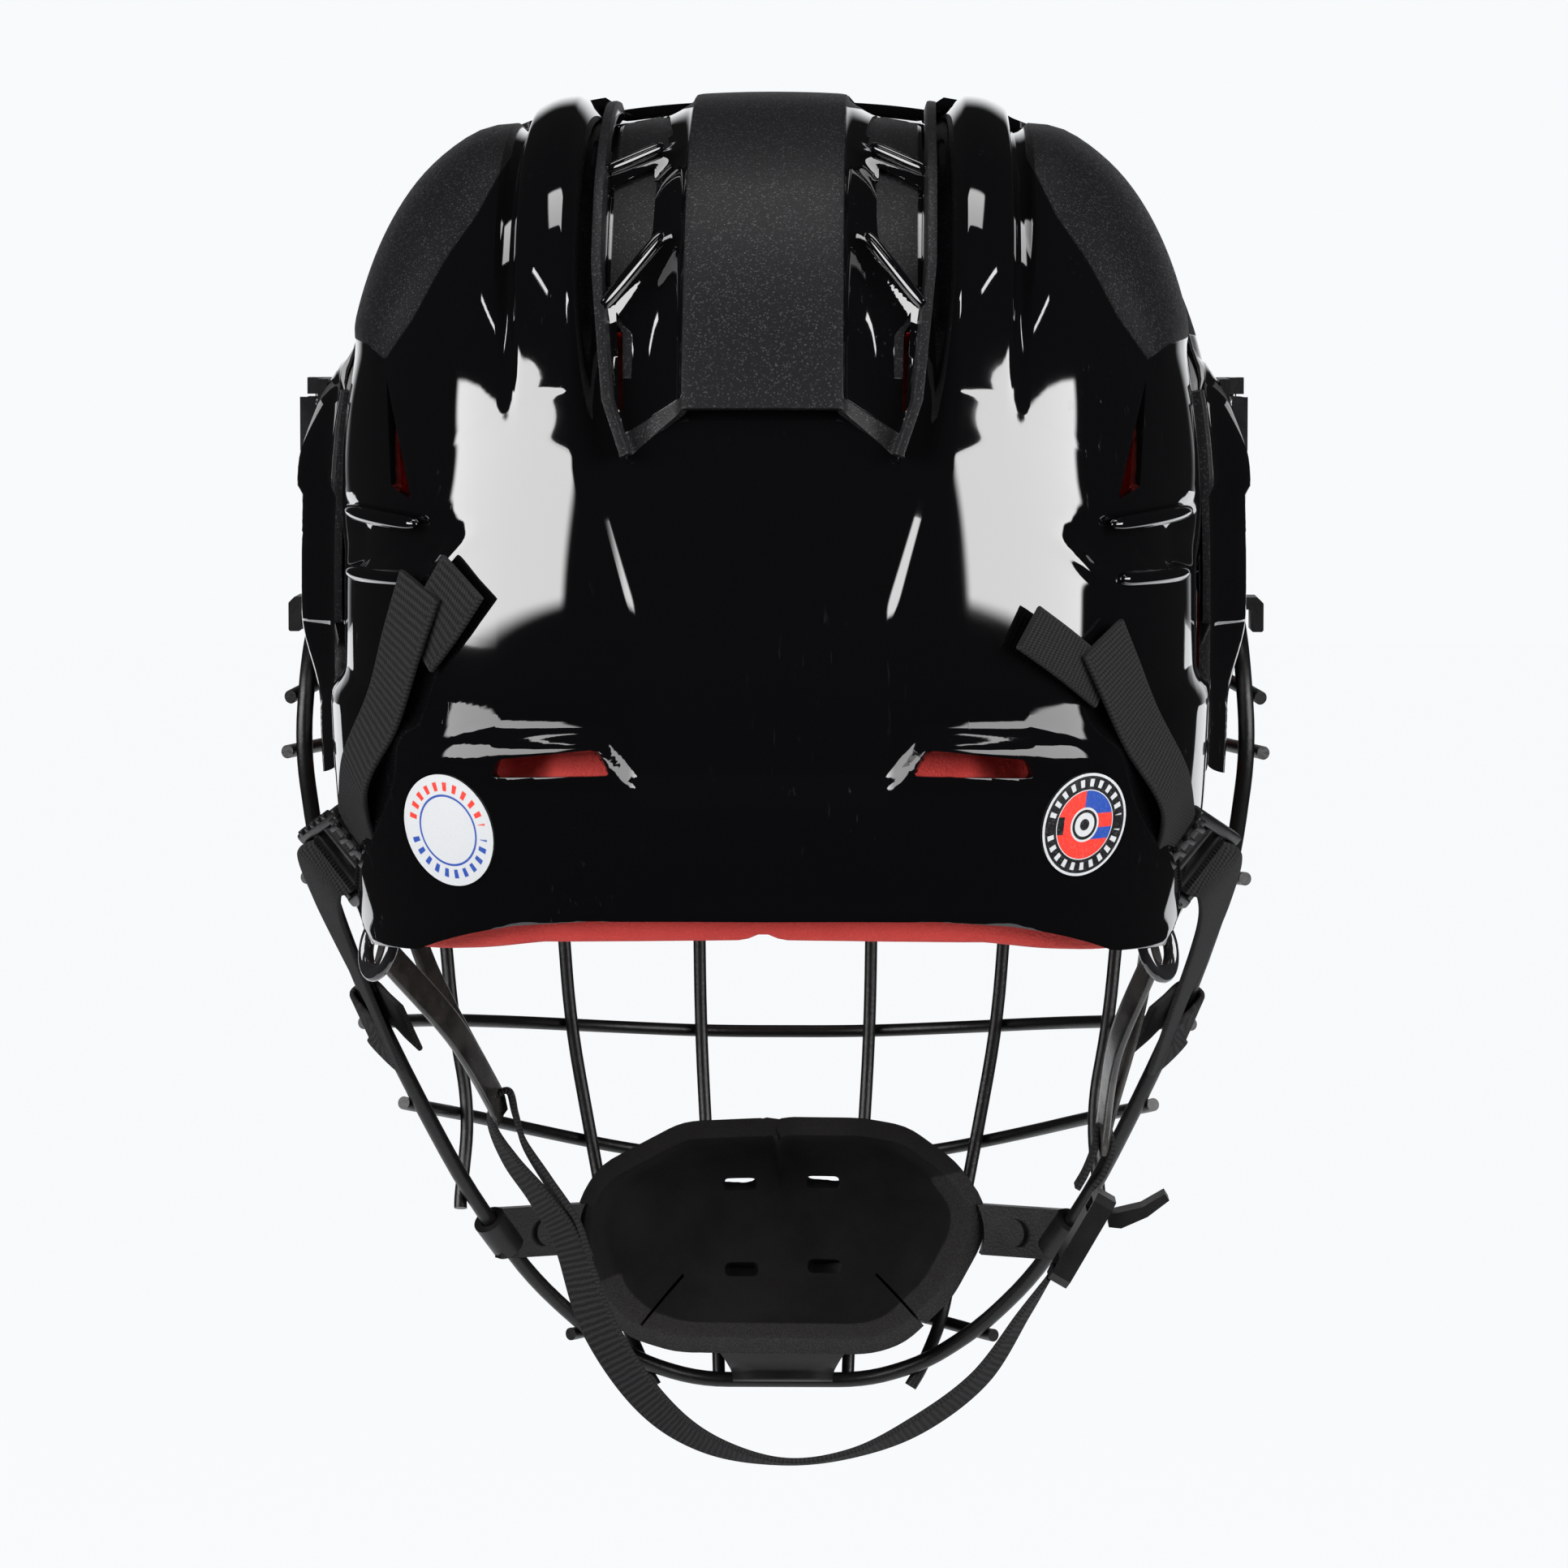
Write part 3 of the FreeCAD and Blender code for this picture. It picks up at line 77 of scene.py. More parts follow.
def tint(name, text, default):
    return FloatVectorProperty(name=name, description=text, default=default, subtype="COLOR", min=0, max=1)


class HelmetSizes(bpy.types.PropertyGroup):
    wall: size("Shell wall", "Thickness of both shells", 0.0026)
    rib: size("Rib height", "How far the two long ribs stand up at the crown", 0.0055)
    panel_recess: size("Back panel recess", "Depth of the tapered panel below the crown panel", 0.0024)
    ledge: size("Ledge", "How far the band at the nape stands out", 0.0034)
    band: size("Band height", "How far the matt crown band stands up", 0.0026)
    scoop: size("Window depth", "Depth of the windows beside the crown band", 0.0042)
    fin: size("Fin scoop", "Depth of the scoops behind the ears", 0.0038)
    bulge: size("Side flare", "How far the front shell flares out beside the ears", 0.0042)
    foam: size("Cup foam", "Thickness of the chin cup's foam", 0.0052)
    webbing: size("Webbing", "Thickness of the straps", 0.0014)
    rib_pitch: size("Weave pitch", "Distance between the ribs of the webbing", 0.0019)


class HelmetColours(bpy.types.PropertyGroup):
    gloss: tint("Gloss", "Gloss shell plastic", (0.0019, 0.0019, 0.0022))
    matt: tint("Matt", "Matt shell plastic", (0.0064, 0.0064, 0.0072))
    liner: tint("Liner", "Liner foam", (0.56, 0.05, 0.042))
    cup: tint("Cup foam", "Chin cup foam", (0.0042, 0.004, 0.0044))
    wire: tint("Wire", "Cage paint", (0.0032, 0.0032, 0.0034))
    moulded: tint("Moulded", "Buckles, clips and hooks", (0.0042, 0.0042, 0.0045))
    web: tint("Webbing", "Strap yarn", (0.0062, 0.0062, 0.0065))
    loop: tint("Ear loop", "Ear loop plastic", (0.045, 0.043, 0.04))
    backdrop: tint("Backdrop", "Studio backdrop", (0.939, 0.956, 0.974))


def sizes():
    return bpy.context.scene.helmet_sizes


def colours():
    return bpy.context.scene.helmet_colours


# ------------------------------------------------------------------ objects


def deselect():
    if bpy.context.object and bpy.context.object.mode != "OBJECT":
        bpy.ops.object.mode_set(mode="OBJECT")
    bpy.ops.object.select_all(action="DESELECT")


def activate(obj):
    deselect()
    obj.select_set(True)
    bpy.context.view_layer.objects.active = obj


def named(name):
    """The object that was just made, under its name."""
    bpy.context.object.name = name
    return bpy.context.object


@contextmanager
def editing(obj, action="SELECT"):
    """Edit mode on one object, with all of it or none of it selected."""
    activate(obj)
    bpy.ops.object.mode_set(mode="EDIT")
    bpy.ops.mesh.select_all(action=action)
    yield
    bpy.ops.object.mode_set(mode="OBJECT")


def apply(obj, kind, **settings):
    """Adds a modifier with its settings and applies it."""
    activate(obj)
    modifier = obj.modifiers.new(kind, kind)
    for key, value in settings.items():
        setattr(modifier, key, value)
    bpy.ops.object.modifier_apply(modifier=modifier.name)


def points_of(obj):
    values = np.empty(len(obj.data.vertices) * 3)
    obj.data.vertices.foreach_get("co", values)
    return values.reshape(-1, 3)


def set_points(obj, points):
    obj.data.vertices.foreach_set("co", np.ascontiguousarray(points).ravel())
    obj.data.update()


def grid(name, across, along):
    """A grid primitive with each vertex's share across and along it."""
    deselect()
    bpy.ops.mesh.primitive_grid_add(x_subdivisions=across, y_subdivisions=along, size=2)
    obj = named(name)
    flat = points_of(obj)
    return obj, (flat[:, 0] + 1) / 2, (flat[:, 1] + 1) / 2


def merge(obj, distance=0.00005, turn=True):
    """Closes seams and poles, and turns the faces outwards."""
    with editing(obj):
        bpy.ops.mesh.remove_doubles(threshold=distance)
        if turn:
            bpy.ops.mesh.normals_make_consistent(inside=False)


def join(objects, name):
    """Makes several objects one."""
    deselect()
    for obj in objects:
        obj.select_set(True)
    bpy.context.view_layer.objects.active = objects[0]
    bpy.ops.object.join()
    return named(name)


def smooth(obj, angle=38):
    activate(obj)
    bpy.ops.object.shade_smooth_by_angle(angle=math.radians(angle))


def wall(obj, thickness, rim, offset=-1, angle=40):
    """Gives an open sheet its wall and rounds the edges of its rims."""
    obj.vertex_groups.new(name="rim")
    apply(obj, "SOLIDIFY", thickness=thickness, offset=offset, use_even_offset=False, rim_vertex_group="rim")
    with editing(obj, "DESELECT"):
        shape = bmesh.from_edit_mesh(obj.data)
        weights = shape.verts.layers.deform.verify()
        limit = math.radians(angle)
        for edge in shape.edges:
            on_rim = all(vert[weights].get(0, 0) > 0.5 for vert in edge.verts)
            edge.select = on_rim and len(edge.link_faces) == 2 and edge.calc_face_angle(0) > limit
        bmesh.update_edit_mesh(obj.data)
        bpy.ops.mesh.bevel(offset=rim, segments=2, affect="EDGES", clamp_overlap=True)
    obj.vertex_groups.clear()


def brick(name, centre, axes, dims, round_off):
    """A block in a frame of its own, in millimetres, with rounded edges."""
    deselect()
    bpy.ops.mesh.primitive_cube_add(size=1)
    obj = named(name)
    set_points(obj, (np.array(centre) + (points_of(obj) * dims) @ np.array(axes, float)) * MM)
    with editing(obj):
        bpy.ops.mesh.normals_make_consistent(inside=False)
        bpy.ops.mesh.bevel(offset=round_off * MM, segments=3, affect="EDGES", clamp_overlap=True)
    smooth(obj)
    return obj


def finish(obj, body, material, slot, *nodes):
    """Gives a piece its material and its body, and hides the carried-over nodes that it stands for. Its slot
    is not used.
    """
    obj.data.materials.clear()
    obj.data.materials.append(material)
    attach(obj, body)
    if nodes:
        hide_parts(*nodes)
    return obj


def rounded_outline(corners, radius, steps=4):
    """The corners of an outline, each rounded off."""
    out = []
    count = len(corners)
    for index in range(count):
        here = Vector(corners[index])
        back = (Vector(corners[index - 1]) - here).normalized()
        on = (Vector(corners[(index + 1) % count]) - here).normalized()
        start, end = here + back * radius, here + on * radius
        for step in range(steps + 1):
            t = step / steps
            out.append(tuple(start * (1 - t) ** 2 + here * 2 * t * (1 - t) + end * t**2))
    return out


def open_vents(obj, vents):
    """Cuts holes through an open sheet.

    Each vent is an outline in rear view and the y that it lies behind or before."""
    margin, overrun = 2.5, 1.6
    shape = bmesh.new()
    shape.from_mesh(obj.data)
    for outline, limit, behind in vents:
        spots = np.array(outline)
        low, high = spots.min(0) - margin, spots.max(0) + margin

        def near(face, low=low, high=high, limit=limit, behind=behind):
            c = face.calc_center_median() / MM
            return low[0] < c.x < high[0] and low[1] < c.z < high[1] and (c.y < limit) == behind

        for index in range(len(outline)):
            a, b = Vector(outline[index - 1]), Vector(outline[index])
            way = (b - a).normalized()
            faces = []
            for face in filter(near, shape.faces):
                c = face.calc_center_median() / MM
                along = (Vector((c.x, c.z)) - a).dot(way)
                across = (Vector((c.x, c.z)) - a).cross(way)
                if -overrun < along < (b - a).length + overrun and abs(across) < 2:
                    faces.append(face)
            parts = list({item for face in faces for item in (face, *face.edges, *face.verts)})
            plane = Vector((a.x, 0, a.y)) * MM
            bmesh.ops.bisect_plane(shape, geom=parts, dist=1e-7, plane_co=plane, plane_no=(way.y, 0, -way.x))
        gone = []
        for face in filter(near, shape.faces):
            c = face.calc_center_median() / MM
            if inside_distance(np.array([c.x]), np.array([c.z]), outline)[0] > 0:
                gone.append(face)
        bmesh.ops.delete(shape, geom=gone, context="FACES")
    shape.to_mesh(obj.data)
    shape.free()
    obj.data.update()


def mirrored_vents(outline, radius, limit, behind=True):
    """A vent and its mirror image, with rounded corners."""
    rounded = rounded_outline(outline, radius)
    return [([(side * x, z) for x, z in rounded], limit, behind) for side in (-1, 1)]


def paint(obj, name, values):
    """Keeps a number on every vertex for a material to read."""
    layer = obj.data.attributes.new(name, "FLOAT", "POINT")
    layer.data.foreach_set("value", np.ascontiguousarray(values, dtype=np.float32))


def lay_uv(obj, spots):
    """Gives every vertex its place in the piece's own UV map."""
    corners = np.empty(len(obj.data.loops), dtype=np.int32)
    obj.data.loops.foreach_get("vertex_index", corners)
    obj.data.uv_layers.active.data.foreach_set("uv", spots[corners].astype(np.float32).ravel())


# ------------------------------------------------------------------ shapes in millimetres


def unit(vectors):
    return vectors / np.linalg.norm(vectors, axis=-1, keepdims=True)


def ease(start, end, value):
    """Goes smoothly from 0 at the start to 1 at the end."""
    t = np.clip((value - start) / (end - start), 0, 1)
    return t * t * (3 - 2 * t)


def hump(value, middle, width):
    """A rounded ridge, 1 at its middle."""
    return np.exp(-(((value - middle) / width) ** 2))


def between(column, columns, knots):
    """How far out a column lies between knots that move with height."""
    x = 0.0 * column
    for low, high, start, end in zip(columns, columns[1:], knots, knots[1:]):
        t = np.clip((column - low) / (high - low), 0, 1)
        x = np.where(column >= low, start * (1 - t) + end * t, x)
    return x


def segment_distance(x, z, start, end):
    (x1, z1), (x2, z2) = start, end
    dx, dz = x2 - x1, z2 - z1
    t = np.clip(((x - x1) * dx + (z - z1) * dz) / (dx * dx + dz * dz), 0, 1)
    return np.hypot(x - x1 - t * dx, z - z1 - t * dz)


def inside_distance(x, z, outline):
    """Signed distance to a closed outline, positive inside."""
    best = np.full(x.shape, 1e9)
    odd = np.zeros(x.shape, bool)
    for start, end in zip(outline, [*outline[1:], outline[0]]):
        best = np.minimum(best, segment_distance(x, z, start, end))
        (x1, z1), (x2, z2) = start, end
        if z2 != z1:
            odd ^= ((z1 > z) != (z2 > z)) & (x < (x2 - x1) * (z - z1) / (z2 - z1) + x1)
    return np.where(odd, best, -best)


class Dome:
    """The egg that a shell follows. The sweep angle is 0 at the back and 90 at the crown."""

    def __init__(self, half_width, reach, top, low=130.0, level=40.0, side=3.05, end=2.4):
        self.half_width, self.reach, self.top, self.low = half_width, reach, top, low
        self.level, self.side, self.end = level, side, end

    def scale(self, x):
        """How much of the full reach is left this far from the middle."""
        share = np.clip(np.abs(x) / self.half_width, 0, 1)
        return (1 - share**self.side) ** (1 / self.side)

    def x_at(self, radius):
        """The other way round: how far from the middle this much reach is left."""
        return self.half_width * (1 - radius**self.side) ** (1 / self.side)

    def points(self, x, sweep):
        """Points on the dome at a distance from the middle and a sweep angle."""
        c, s = -np.cos(np.radians(sweep)), np.sin(np.radians(sweep))
        upright = np.where(s >= 0, self.top, self.low)
        r = ((np.abs(c) / self.reach) ** self.end + (np.abs(s) / upright) ** self.end) ** (-1 / self.end)
        r = r * self.scale(x)
        return np.stack([x, r * c, self.level + r * s], axis=-1)

    def field(self, p):
        """1 on the dome and less inside it."""
        up = p[..., 2] - self.level
        upright = np.where(up >= 0, self.top, self.low)
        deep, high = np.abs(p[..., 1] / self.reach), np.abs(up / upright)
        radius = (deep**self.end + high**self.end) ** (1 / self.end)
        return (np.abs(p[..., 0] / self.half_width) ** self.side + radius**self.side) ** (1 / self.side)

    def normals(self, p):
        step = 0.02
        parts = []
        for axis in range(3):
            shift = np.zeros(3)
            shift[axis] = step
            parts.append(self.field(p + shift) - self.field(p - shift))
        n = np.stack(parts, axis=-1)
        return n / np.linalg.norm(n, axis=-1, keepdims=True)

    def on_back(self, x, z, off=0.0):
        """A point of the back or side of the dome in rear view."""
        share = 1 - (abs(x) / self.half_width) ** self.side
        radius = max(share, 1e-6) ** (1 / self.side)
        up = z - self.level
        height = abs(up / (self.top if up >= 0 else self.low)) ** self.end
        y = -self.reach * max(radius**self.end - height, 0) ** (1 / self.end)
        place = np.array([float(x), y, float(z)])
        return place + self.normals(place) * off


REAR = Dome(101.0, 134.0, 125.0)
FRONT = Dome(109.5, 140.0, 128.7)
# Each shell's outline in side view, open towards its own end of the helmet.
REAR_OUTLINE = [(-400, 400), (22, 400), (22, 72), (0, 30), (-36, 2), (-50, -22), (-68, -30.5)]
REAR_OUTLINE += [(-95, -28.6), (-122, -19.4), (-400, -19.4)]
FRONT_OUTLINE = [(400, 400), (12, 400), (12, 128), (-22, 96), (-22, 4), (-10, -8), (20, -8), (30, 8)]
FRONT_OUTLINE += [(44, 36), (60, 46), (100, 52), (400, 60)]


def reach_of(dome, x, start, step, outline, limit):
    """The sweep angle where a lateral line leaves an outline in side view."""
    sweep = np.full(x.shape, float(start))
    alive = np.ones(x.shape, bool)
    for _ in range(int(limit / abs(step))):
        p = dome.points(x, sweep + step)
        alive &= inside_distance(p[..., 1], p[..., 2], outline) > 0
        sweep = np.where(alive, sweep + step, sweep)
        if not alive.any():
            break
    low, high = sweep, np.where(alive, sweep, sweep + step)
    for _ in range(18):
        middle = (low + high) / 2
        p = dome.points(x, middle)
        ok = inside_distance(p[..., 1], p[..., 2], outline) > 0
        low, high = np.where(ok, middle, low), np.where(ok, high, middle)
    return low


def evened(heights, row, column, times):
    """Heights on a grid, each drawn towards its neighbours."""
    row, column = row.astype(int), column.astype(int)
    table = np.zeros((row.max() + 1, column.max() + 1))
    table[row, column] = heights
    for _ in range(times):
        wide = np.pad(table, 1, mode="edge")
        ring = wide[:-2, 1:-1] + wide[2:, 1:-1] + wide[1:-1, :-2] + wide[1:-1, 2:]
        table = table * 0.5 + ring * 0.125
    return table[row, column]


def centre_height(dome, sweep):
    return dome.points(np.zeros_like(sweep), sweep)[..., 2]


# ------------------------------------------------------------------ rear shell

# The grid's columns, counted from the middle, where the valley, the rib and the side begin.
VALLEY, RIB, RIB_OUT, NOTCH, POLE = 26, 31, 51, 58, 110
REAR_COLUMNS = [0, VALLEY, RIB, RIB_OUT, NOTCH, POLE]
# The grid's rows: from one height to the next, and how many.
REAR_ROWS = ((-22, 8, 16), (8, 26, 20), (26, 34, 4), (34, 50, 14), (50, 56, 6), (56, 97, 60), (97, 150, 30))
# Where the side begins, and the y behind which the nape lies.
NOTCH_X, BACK_Y = 59.5, -20
SIDE_PANEL = [(NOTCH_X, 190), (NOTCH_X, 150), (66, 136), (73, 126), (80, 113), (87, 103.5), (92, 107)]
SIDE_PANEL += [(120, 112), (120, 190)]
FIN = [(99, 69.5), (78, 68.5), (71, 65.5), (70, 62), (75, 56.5), (99, 55)]
NAPE_VENT = [(36.3, 18.2), (33.4, 12.2), (60.8, 11.2), (59, 15.4)]
SIDE_VENT = [(86.4, 99), (79.6, 72.5), (84.8, 75)]
UNDER_SLOT = [(31.0, 92), (32.4, 91), (33.6, 112), (31.4, 111)]


def rear_x(column, sweep):
    """How far out a column of the rear shell lies at a sweep angle."""
    height = centre_height(REAR, sweep)
    levels = [-35, 11, 42, 81, 95, 125, 170]
    valley = np.interp(height, levels, [27, 27, 24.5, 35.5, 37.6, 39.3, 39.6])
    rib = np.interp(height, levels, [31.5, 31.5, 29.5, 40.5, 42, 43.6, 44])
    x = between(column, REAR_COLUMNS, [0, valley, rib, 54.5, NOTCH_X])
    t = np.clip((column - NOTCH) / (POLE - NOTCH), 0, 1)
    start = float(REAR.scale(np.array(NOTCH_X)))
    outer = REAR.x_at(start + (0.16 - start) * t)
    return np.where(column > NOTCH, outer, x)


def rear_height(p, column, sweep):
    """How far the rear shell stands off its dome."""
    s = sizes()
    x, z = np.abs(p[:, 0]), p[:, 2]
    height = centre_height(REAR, sweep)
    rib = s.rib / MM * ease(88, 138, height)
    low = -s.panel_recess / MM * ease(31, 52, height)
    out = np.interp(column, REAR_COLUMNS, [0, 0, 1, 1, 0, 0])
    # Outside the rib a groove follows it down.
    lines = [RIB_OUT, 53.5, 55.5, NOTCH, NOTCH + 1.5, POLE]
    groove = np.interp(column, lines, [1, 0.12, 0.12, 0.7, 0.72, 0.15])
    outside = rib * np.where(column < RIB_OUT, 1, groove)
    h = np.where(column <= RIB, low + (rib - low) * out, outside)
    h = np.where(column <= VALLEY, low, h)
    across = np.clip((column - RIB) / (RIB_OUT - RIB), 0, 1)
    h = h + 0.9 * np.sin(across * math.pi) * ease(100, 128, height)
    side = inside_distance(x, z, SIDE_PANEL)
    h = h + (column > NOTCH) * (1.7 * ease(-1.4, 0.6, side) + 1.6 * ease(100, 150, z))
    # The scoops behind the ears, with a ridge across them.
    fin = inside_distance(x, z, FIN)
    lip = 0.6 * hump(fin, -0.8, 1.9) * ease(97, 86, x)
    scoop = s.fin / MM * ease(-1.2, 3.6, fin)
    ridge = 1.2 * hump(z, 61.0, 2.4) * ease(0, 3, fin)
    h = h + (lip - scoop + ridge) * (p[:, 1] < 0)
    # A thin lip round each nape vent.
    vent = inside_distance(x, z, NAPE_VENT)
    h = h + 0.4 * hump(vent, -0.7, 1.0) * (p[:, 1] < BACK_Y)
    # The crown sits a little lower, and the part that slides under the front shell steps down.
    h = h - 1.6 * ease(140, 160, z) - 3.4 * ease(8.5, 12, p[:, 1]) * ease(60, 90, z)
    # The ledge at the nape: the band below it stands out.
    line = np.interp(x, [0, 27, 36.5, 76, 95], [11.4, 11.4, 22.6, 22, 30])
    h = h + np.clip((line - z + 0.2) / 4.4, 0, 1) * s.ledge / MM * (p[:, 1] < BACK_Y)
    hem = np.interp(x, [0, 60, 90], [-22, -26, -32])
    return h + 1.1 * ease(7, 0.5, z - hem) * (p[:, 1] < -40)


def shell_bar(side, start, end, radius, lift):
    """A rounded bar that lies along the shell, over a scoop's edge or between two vents."""
    obj, u, v = grid("shell_bar", 28, 40)
    share = v[:, None]
    line = np.array([side, 1.0]) * (np.array(start) * (1 - share) + np.array(end) * share)
    p = np.array([REAR.on_back(x, z, lift) for x, z in line])
    out = REAR.normals(p)
    across = np.cross(out, unit(np.gradient(p[np.argsort(v)], axis=0).mean(axis=0)))
    full = radius * np.clip(1 - np.abs(2 * v - 1) ** 7, 0, 1)[:, None] ** 0.5
    angle = (u * 2 * math.pi)[:, None]
    set_points(obj, (p + full * (out * np.sin(angle) * 1.15 + across * np.cos(angle))) * MM)
    merge(obj)
    smooth(obj, 80)
    return obj


def add_bars(obj, bars):
    """Joins gloss bars and their mirror images to a sheet. Each has its start, end, radius and lift."""
    parts = [shell_bar(side, *bar) for _, side in SIDES for bar in bars]
    for part in parts:
        paint(part, "matt", np.full(len(part.data.vertices), ALL_GLOSS))
    return join([obj, *parts], obj.name)


class HELMET_OT_rear_shell(bpy.types.Operator):
    """Builds the rear shell with its ribs, valleys, ledge, scoops and vents"""

    bl_idname = "helmet.rear_shell"
    bl_label = "Rear shell"

    def execute(self, context):
        rows = [np.linspace(low, high, count, endpoint=False) for low, high, count in REAR_ROWS]
        fine = np.linspace(-40, 89, 2400)
        tall = centre_height(REAR, fine)
        swept = np.interp(np.concatenate(rows), tall, fine)
        swept = np.concatenate([swept, np.linspace(np.interp(REAR_ROWS[-1][1], tall, fine), 99, 36)])
        shares = (swept - swept[0]) / (swept[-1] - swept[0])
        last = len(shares) - 1
        obj, u, v = grid("helmet_rear_shell", POLE * 2, last)
        signed = np.rint(u * POLE * 2) - POLE
        column = np.abs(signed)
        # Every lateral line runs from the hem, at a low sweep angle, to the front edge, past the crown.
        lines = np.arange(POLE + 1.0)
        low = reach_of(REAR, rear_x(lines, np.full(lines.shape, 10.0)), 5, -1.5, REAR_OUTLINE, 120)
        high = reach_of(REAR, rear_x(lines, np.full(lines.shape, 85.0)), 60, 1.5, REAR_OUTLINE, 200)
        which = column.astype(int)
        row = np.rint(v * last).astype(int)
        sweep = low[which] + (high[which] - low[which]) * shares[row]
        x = rear_x(column, sweep) * np.sign(signed)
        p = REAR.points(x, sweep)
        h = evened(rear_height(p, column, sweep), row, signed + POLE, 5)
        p = p + REAR.normals(p) * h[:, None]
        set_points(obj, p * MM)
        merge(obj)
        vents = mirrored_vents(NAPE_VENT, 1.7, BACK_Y) + mirrored_vents(SIDE_VENT, 1.0, -10)
        open_vents(obj, vents + mirrored_vents(UNDER_SLOT, 2, BACK_Y))
        wall(obj, sizes().wall, 0.0006)
        p = points_of(obj) / MM
        x, z = np.abs(p[:, 0]), p[:, 2]
        # The side panels are matt, and so is what lies under the crown panel.
        matt = np.maximum(inside_distance(x, z, SIDE_PANEL), np.minimum(34.5 - x, z - 100))
        paint(obj, "matt", matt * np.where(p[:, 1] < 40, 1, -1))
        # The coat is thinner on the ledge and on the slope above it.
        ledge = ease(31, 28.5, z) * ease(7, 10, z) * ease(27, 30, x) * ease(80, 76, x)
        paint(obj, "thin_coat", ledge * (p[:, 1] < BACK_Y))
        smooth(obj)
        obj = add_bars(obj, [((77.5, 66.8), (97.5, 68.6), 1.8, 0.2), ((79.5, 54.6), (96.5, 54.6), 1.8, 0.2)])
        finish(obj, "rear_helmet", shell_material("rear shell plastic"), "gloss_shell", "rear_shell")
        return {"FINISHED"}


# ------------------------------------------------------------------ crown panel

PANEL_COLUMNS = [0, 16, 18, 34, 37, 41]
# Half the width of the matt band.
BAND_X = 17.6
MAIN_VENT = [(25.5, 147.6), (35.6, 142.5), (35.4, 119.5), (26.4, 130.5)]
HIGH_VENT = [(22, 155.2), (24, 160.4), (36, 158), (36, 150.5)]
SLOT_VENT = [(30.4, 110), (33, 115), (31.8, 92), (30.2, 94)]
CROSS_WALLS = [((36.4, 114), (22.6, 131.2)), ((36.8, 145.6), (23.5, 151.6))]


def panel_edge(height):
    """How far out the crown panel's edge lies."""
    return np.interp(height, [83, 95, 125, 170], [31.2, 35.2, 38.2, 38.6])


def panel_height(p, column):
    """The matt band, the rails beside it and the gloss windows between them."""
    s = sizes()
    x, z = np.abs(p[:, 0]), p[:, 2]
    sunk = 1.6 * ease(140, 160, z)
    band, rail = s.band / MM - sunk, s.band / MM + 0.2 - sunk
    t = np.clip((x - 18.2) / 7.0, 0, 1)
    window = band - 0.7 - (s.scoop / MM) * (0.15 + 0.85 * t**0.7)
    h = np.where(column <= 16, band + 0.35 * np.cos(np.clip(x / BAND_X, 0, 1) * math.pi / 2), window)
    h = np.where((column > 16) & (column < 18), band - 0.3 * (column - 16), h)
    h = np.where(column >= 36, rail, h)
    inner = (column > 17) & (column < 36)
    # Walls cross between the vents.
    for start, end in CROSS_WALLS:
        crossing = hump(segment_distance(x, z, start, end), 0, 1.9)
        h = np.where(inner, h + (rail - 2.4 - h) * crossing, h)
    for outline in (MAIN_VENT, HIGH_VENT, SLOT_VENT):
        h = np.where(inner, h - 2.2 * ease(-0.4, 2.4, inside_distance(x, z, outline)), h)
    return h


class HELMET_OT_crown_panel(bpy.types.Operator):
    """Builds the matt centre panel with its rails, windows and vents"""

    bl_idname = "helmet.crown_panel"
    bl_label = "Crown panel"

    def execute(self, context):
        half = PANEL_COLUMNS[-1]
        along = 250
        obj, u, v = grid("helmet_crown_panel", half * 2, along)
        signed = np.rint(u * half * 2) - half
        column = np.abs(signed)
        fine = np.linspace(0, 89, 2000)
        tall = centre_height(REAR, fine)
        # The panel's lower end is level in the middle and slants down beside the band.
        reach = np.interp(column, PANEL_COLUMNS, [0, BAND_X, 18.4, 29, 30, 31.2])
        low_z = np.where(reach < BAND_X, 92.6, 92.6 - (reach - BAND_X) * 0.78)
        low = np.interp(REAR.level + (low_z - REAR.level) / REAR.scale(reach), tall, fine)
        sweep = low + (94.5 - low) * v
        height = np.where(sweep < 90, centre_height(REAR, sweep), REAR.level + REAR.top)
        outer = panel_edge(height)
        knots = [0, BAND_X, 18.4, outer - 2.6, outer - 2.0, outer]
        x = between(column, PANEL_COLUMNS, knots) * np.sign(signed)
        p = REAR.points(x, sweep)
        h = evened(panel_height(p, column), np.rint(v * along), signed + half, 4)
        p = p + REAR.normals(p) * h[:, None]
        set_points(obj, p * MM)
        merge(obj)
        vents = mirrored_vents(MAIN_VENT, 1.2, -30) + mirrored_vents(HIGH_VENT, 1.0, -5)
        vents += mirrored_vents(SLOT_VENT, 1.0, -40)
        open_vents(obj, vents)
        wall(obj, 0.0016, 0.0005)
        p = points_of(obj) / MM
        x, z = np.abs(p[:, 0]), p[:, 2]
        # The band, the rails, the lower tip and the crown's top are matt, the windows gloss.
        tip = inside_distance(x, z, [(0, 96), (BAND_X, 96), (33, 86), (36, 80), (0, 80)])
        matt = np.maximum(17.9 - x, x - (panel_edge(z) - 2.4))
        paint(obj, "matt", np.maximum(matt, np.maximum(tip, z - 161.8)))
        smooth(obj)
        band = sizes().band / MM
        obj = add_bars(obj, [(*ends, 1.3, band - drop) for ends, drop in zip(CROSS_WALLS, (0.9, 1.9))])
        finish(obj, "rear_helmet", shell_material("crown panel plastic"), "matt_shell", "crown_panel")
        return {"FINISHED"}


# ------------------------------------------------------------------ front shell

FRONT_COLUMNS = [0, 14, 16, 26, 29, 39, 43, 100]


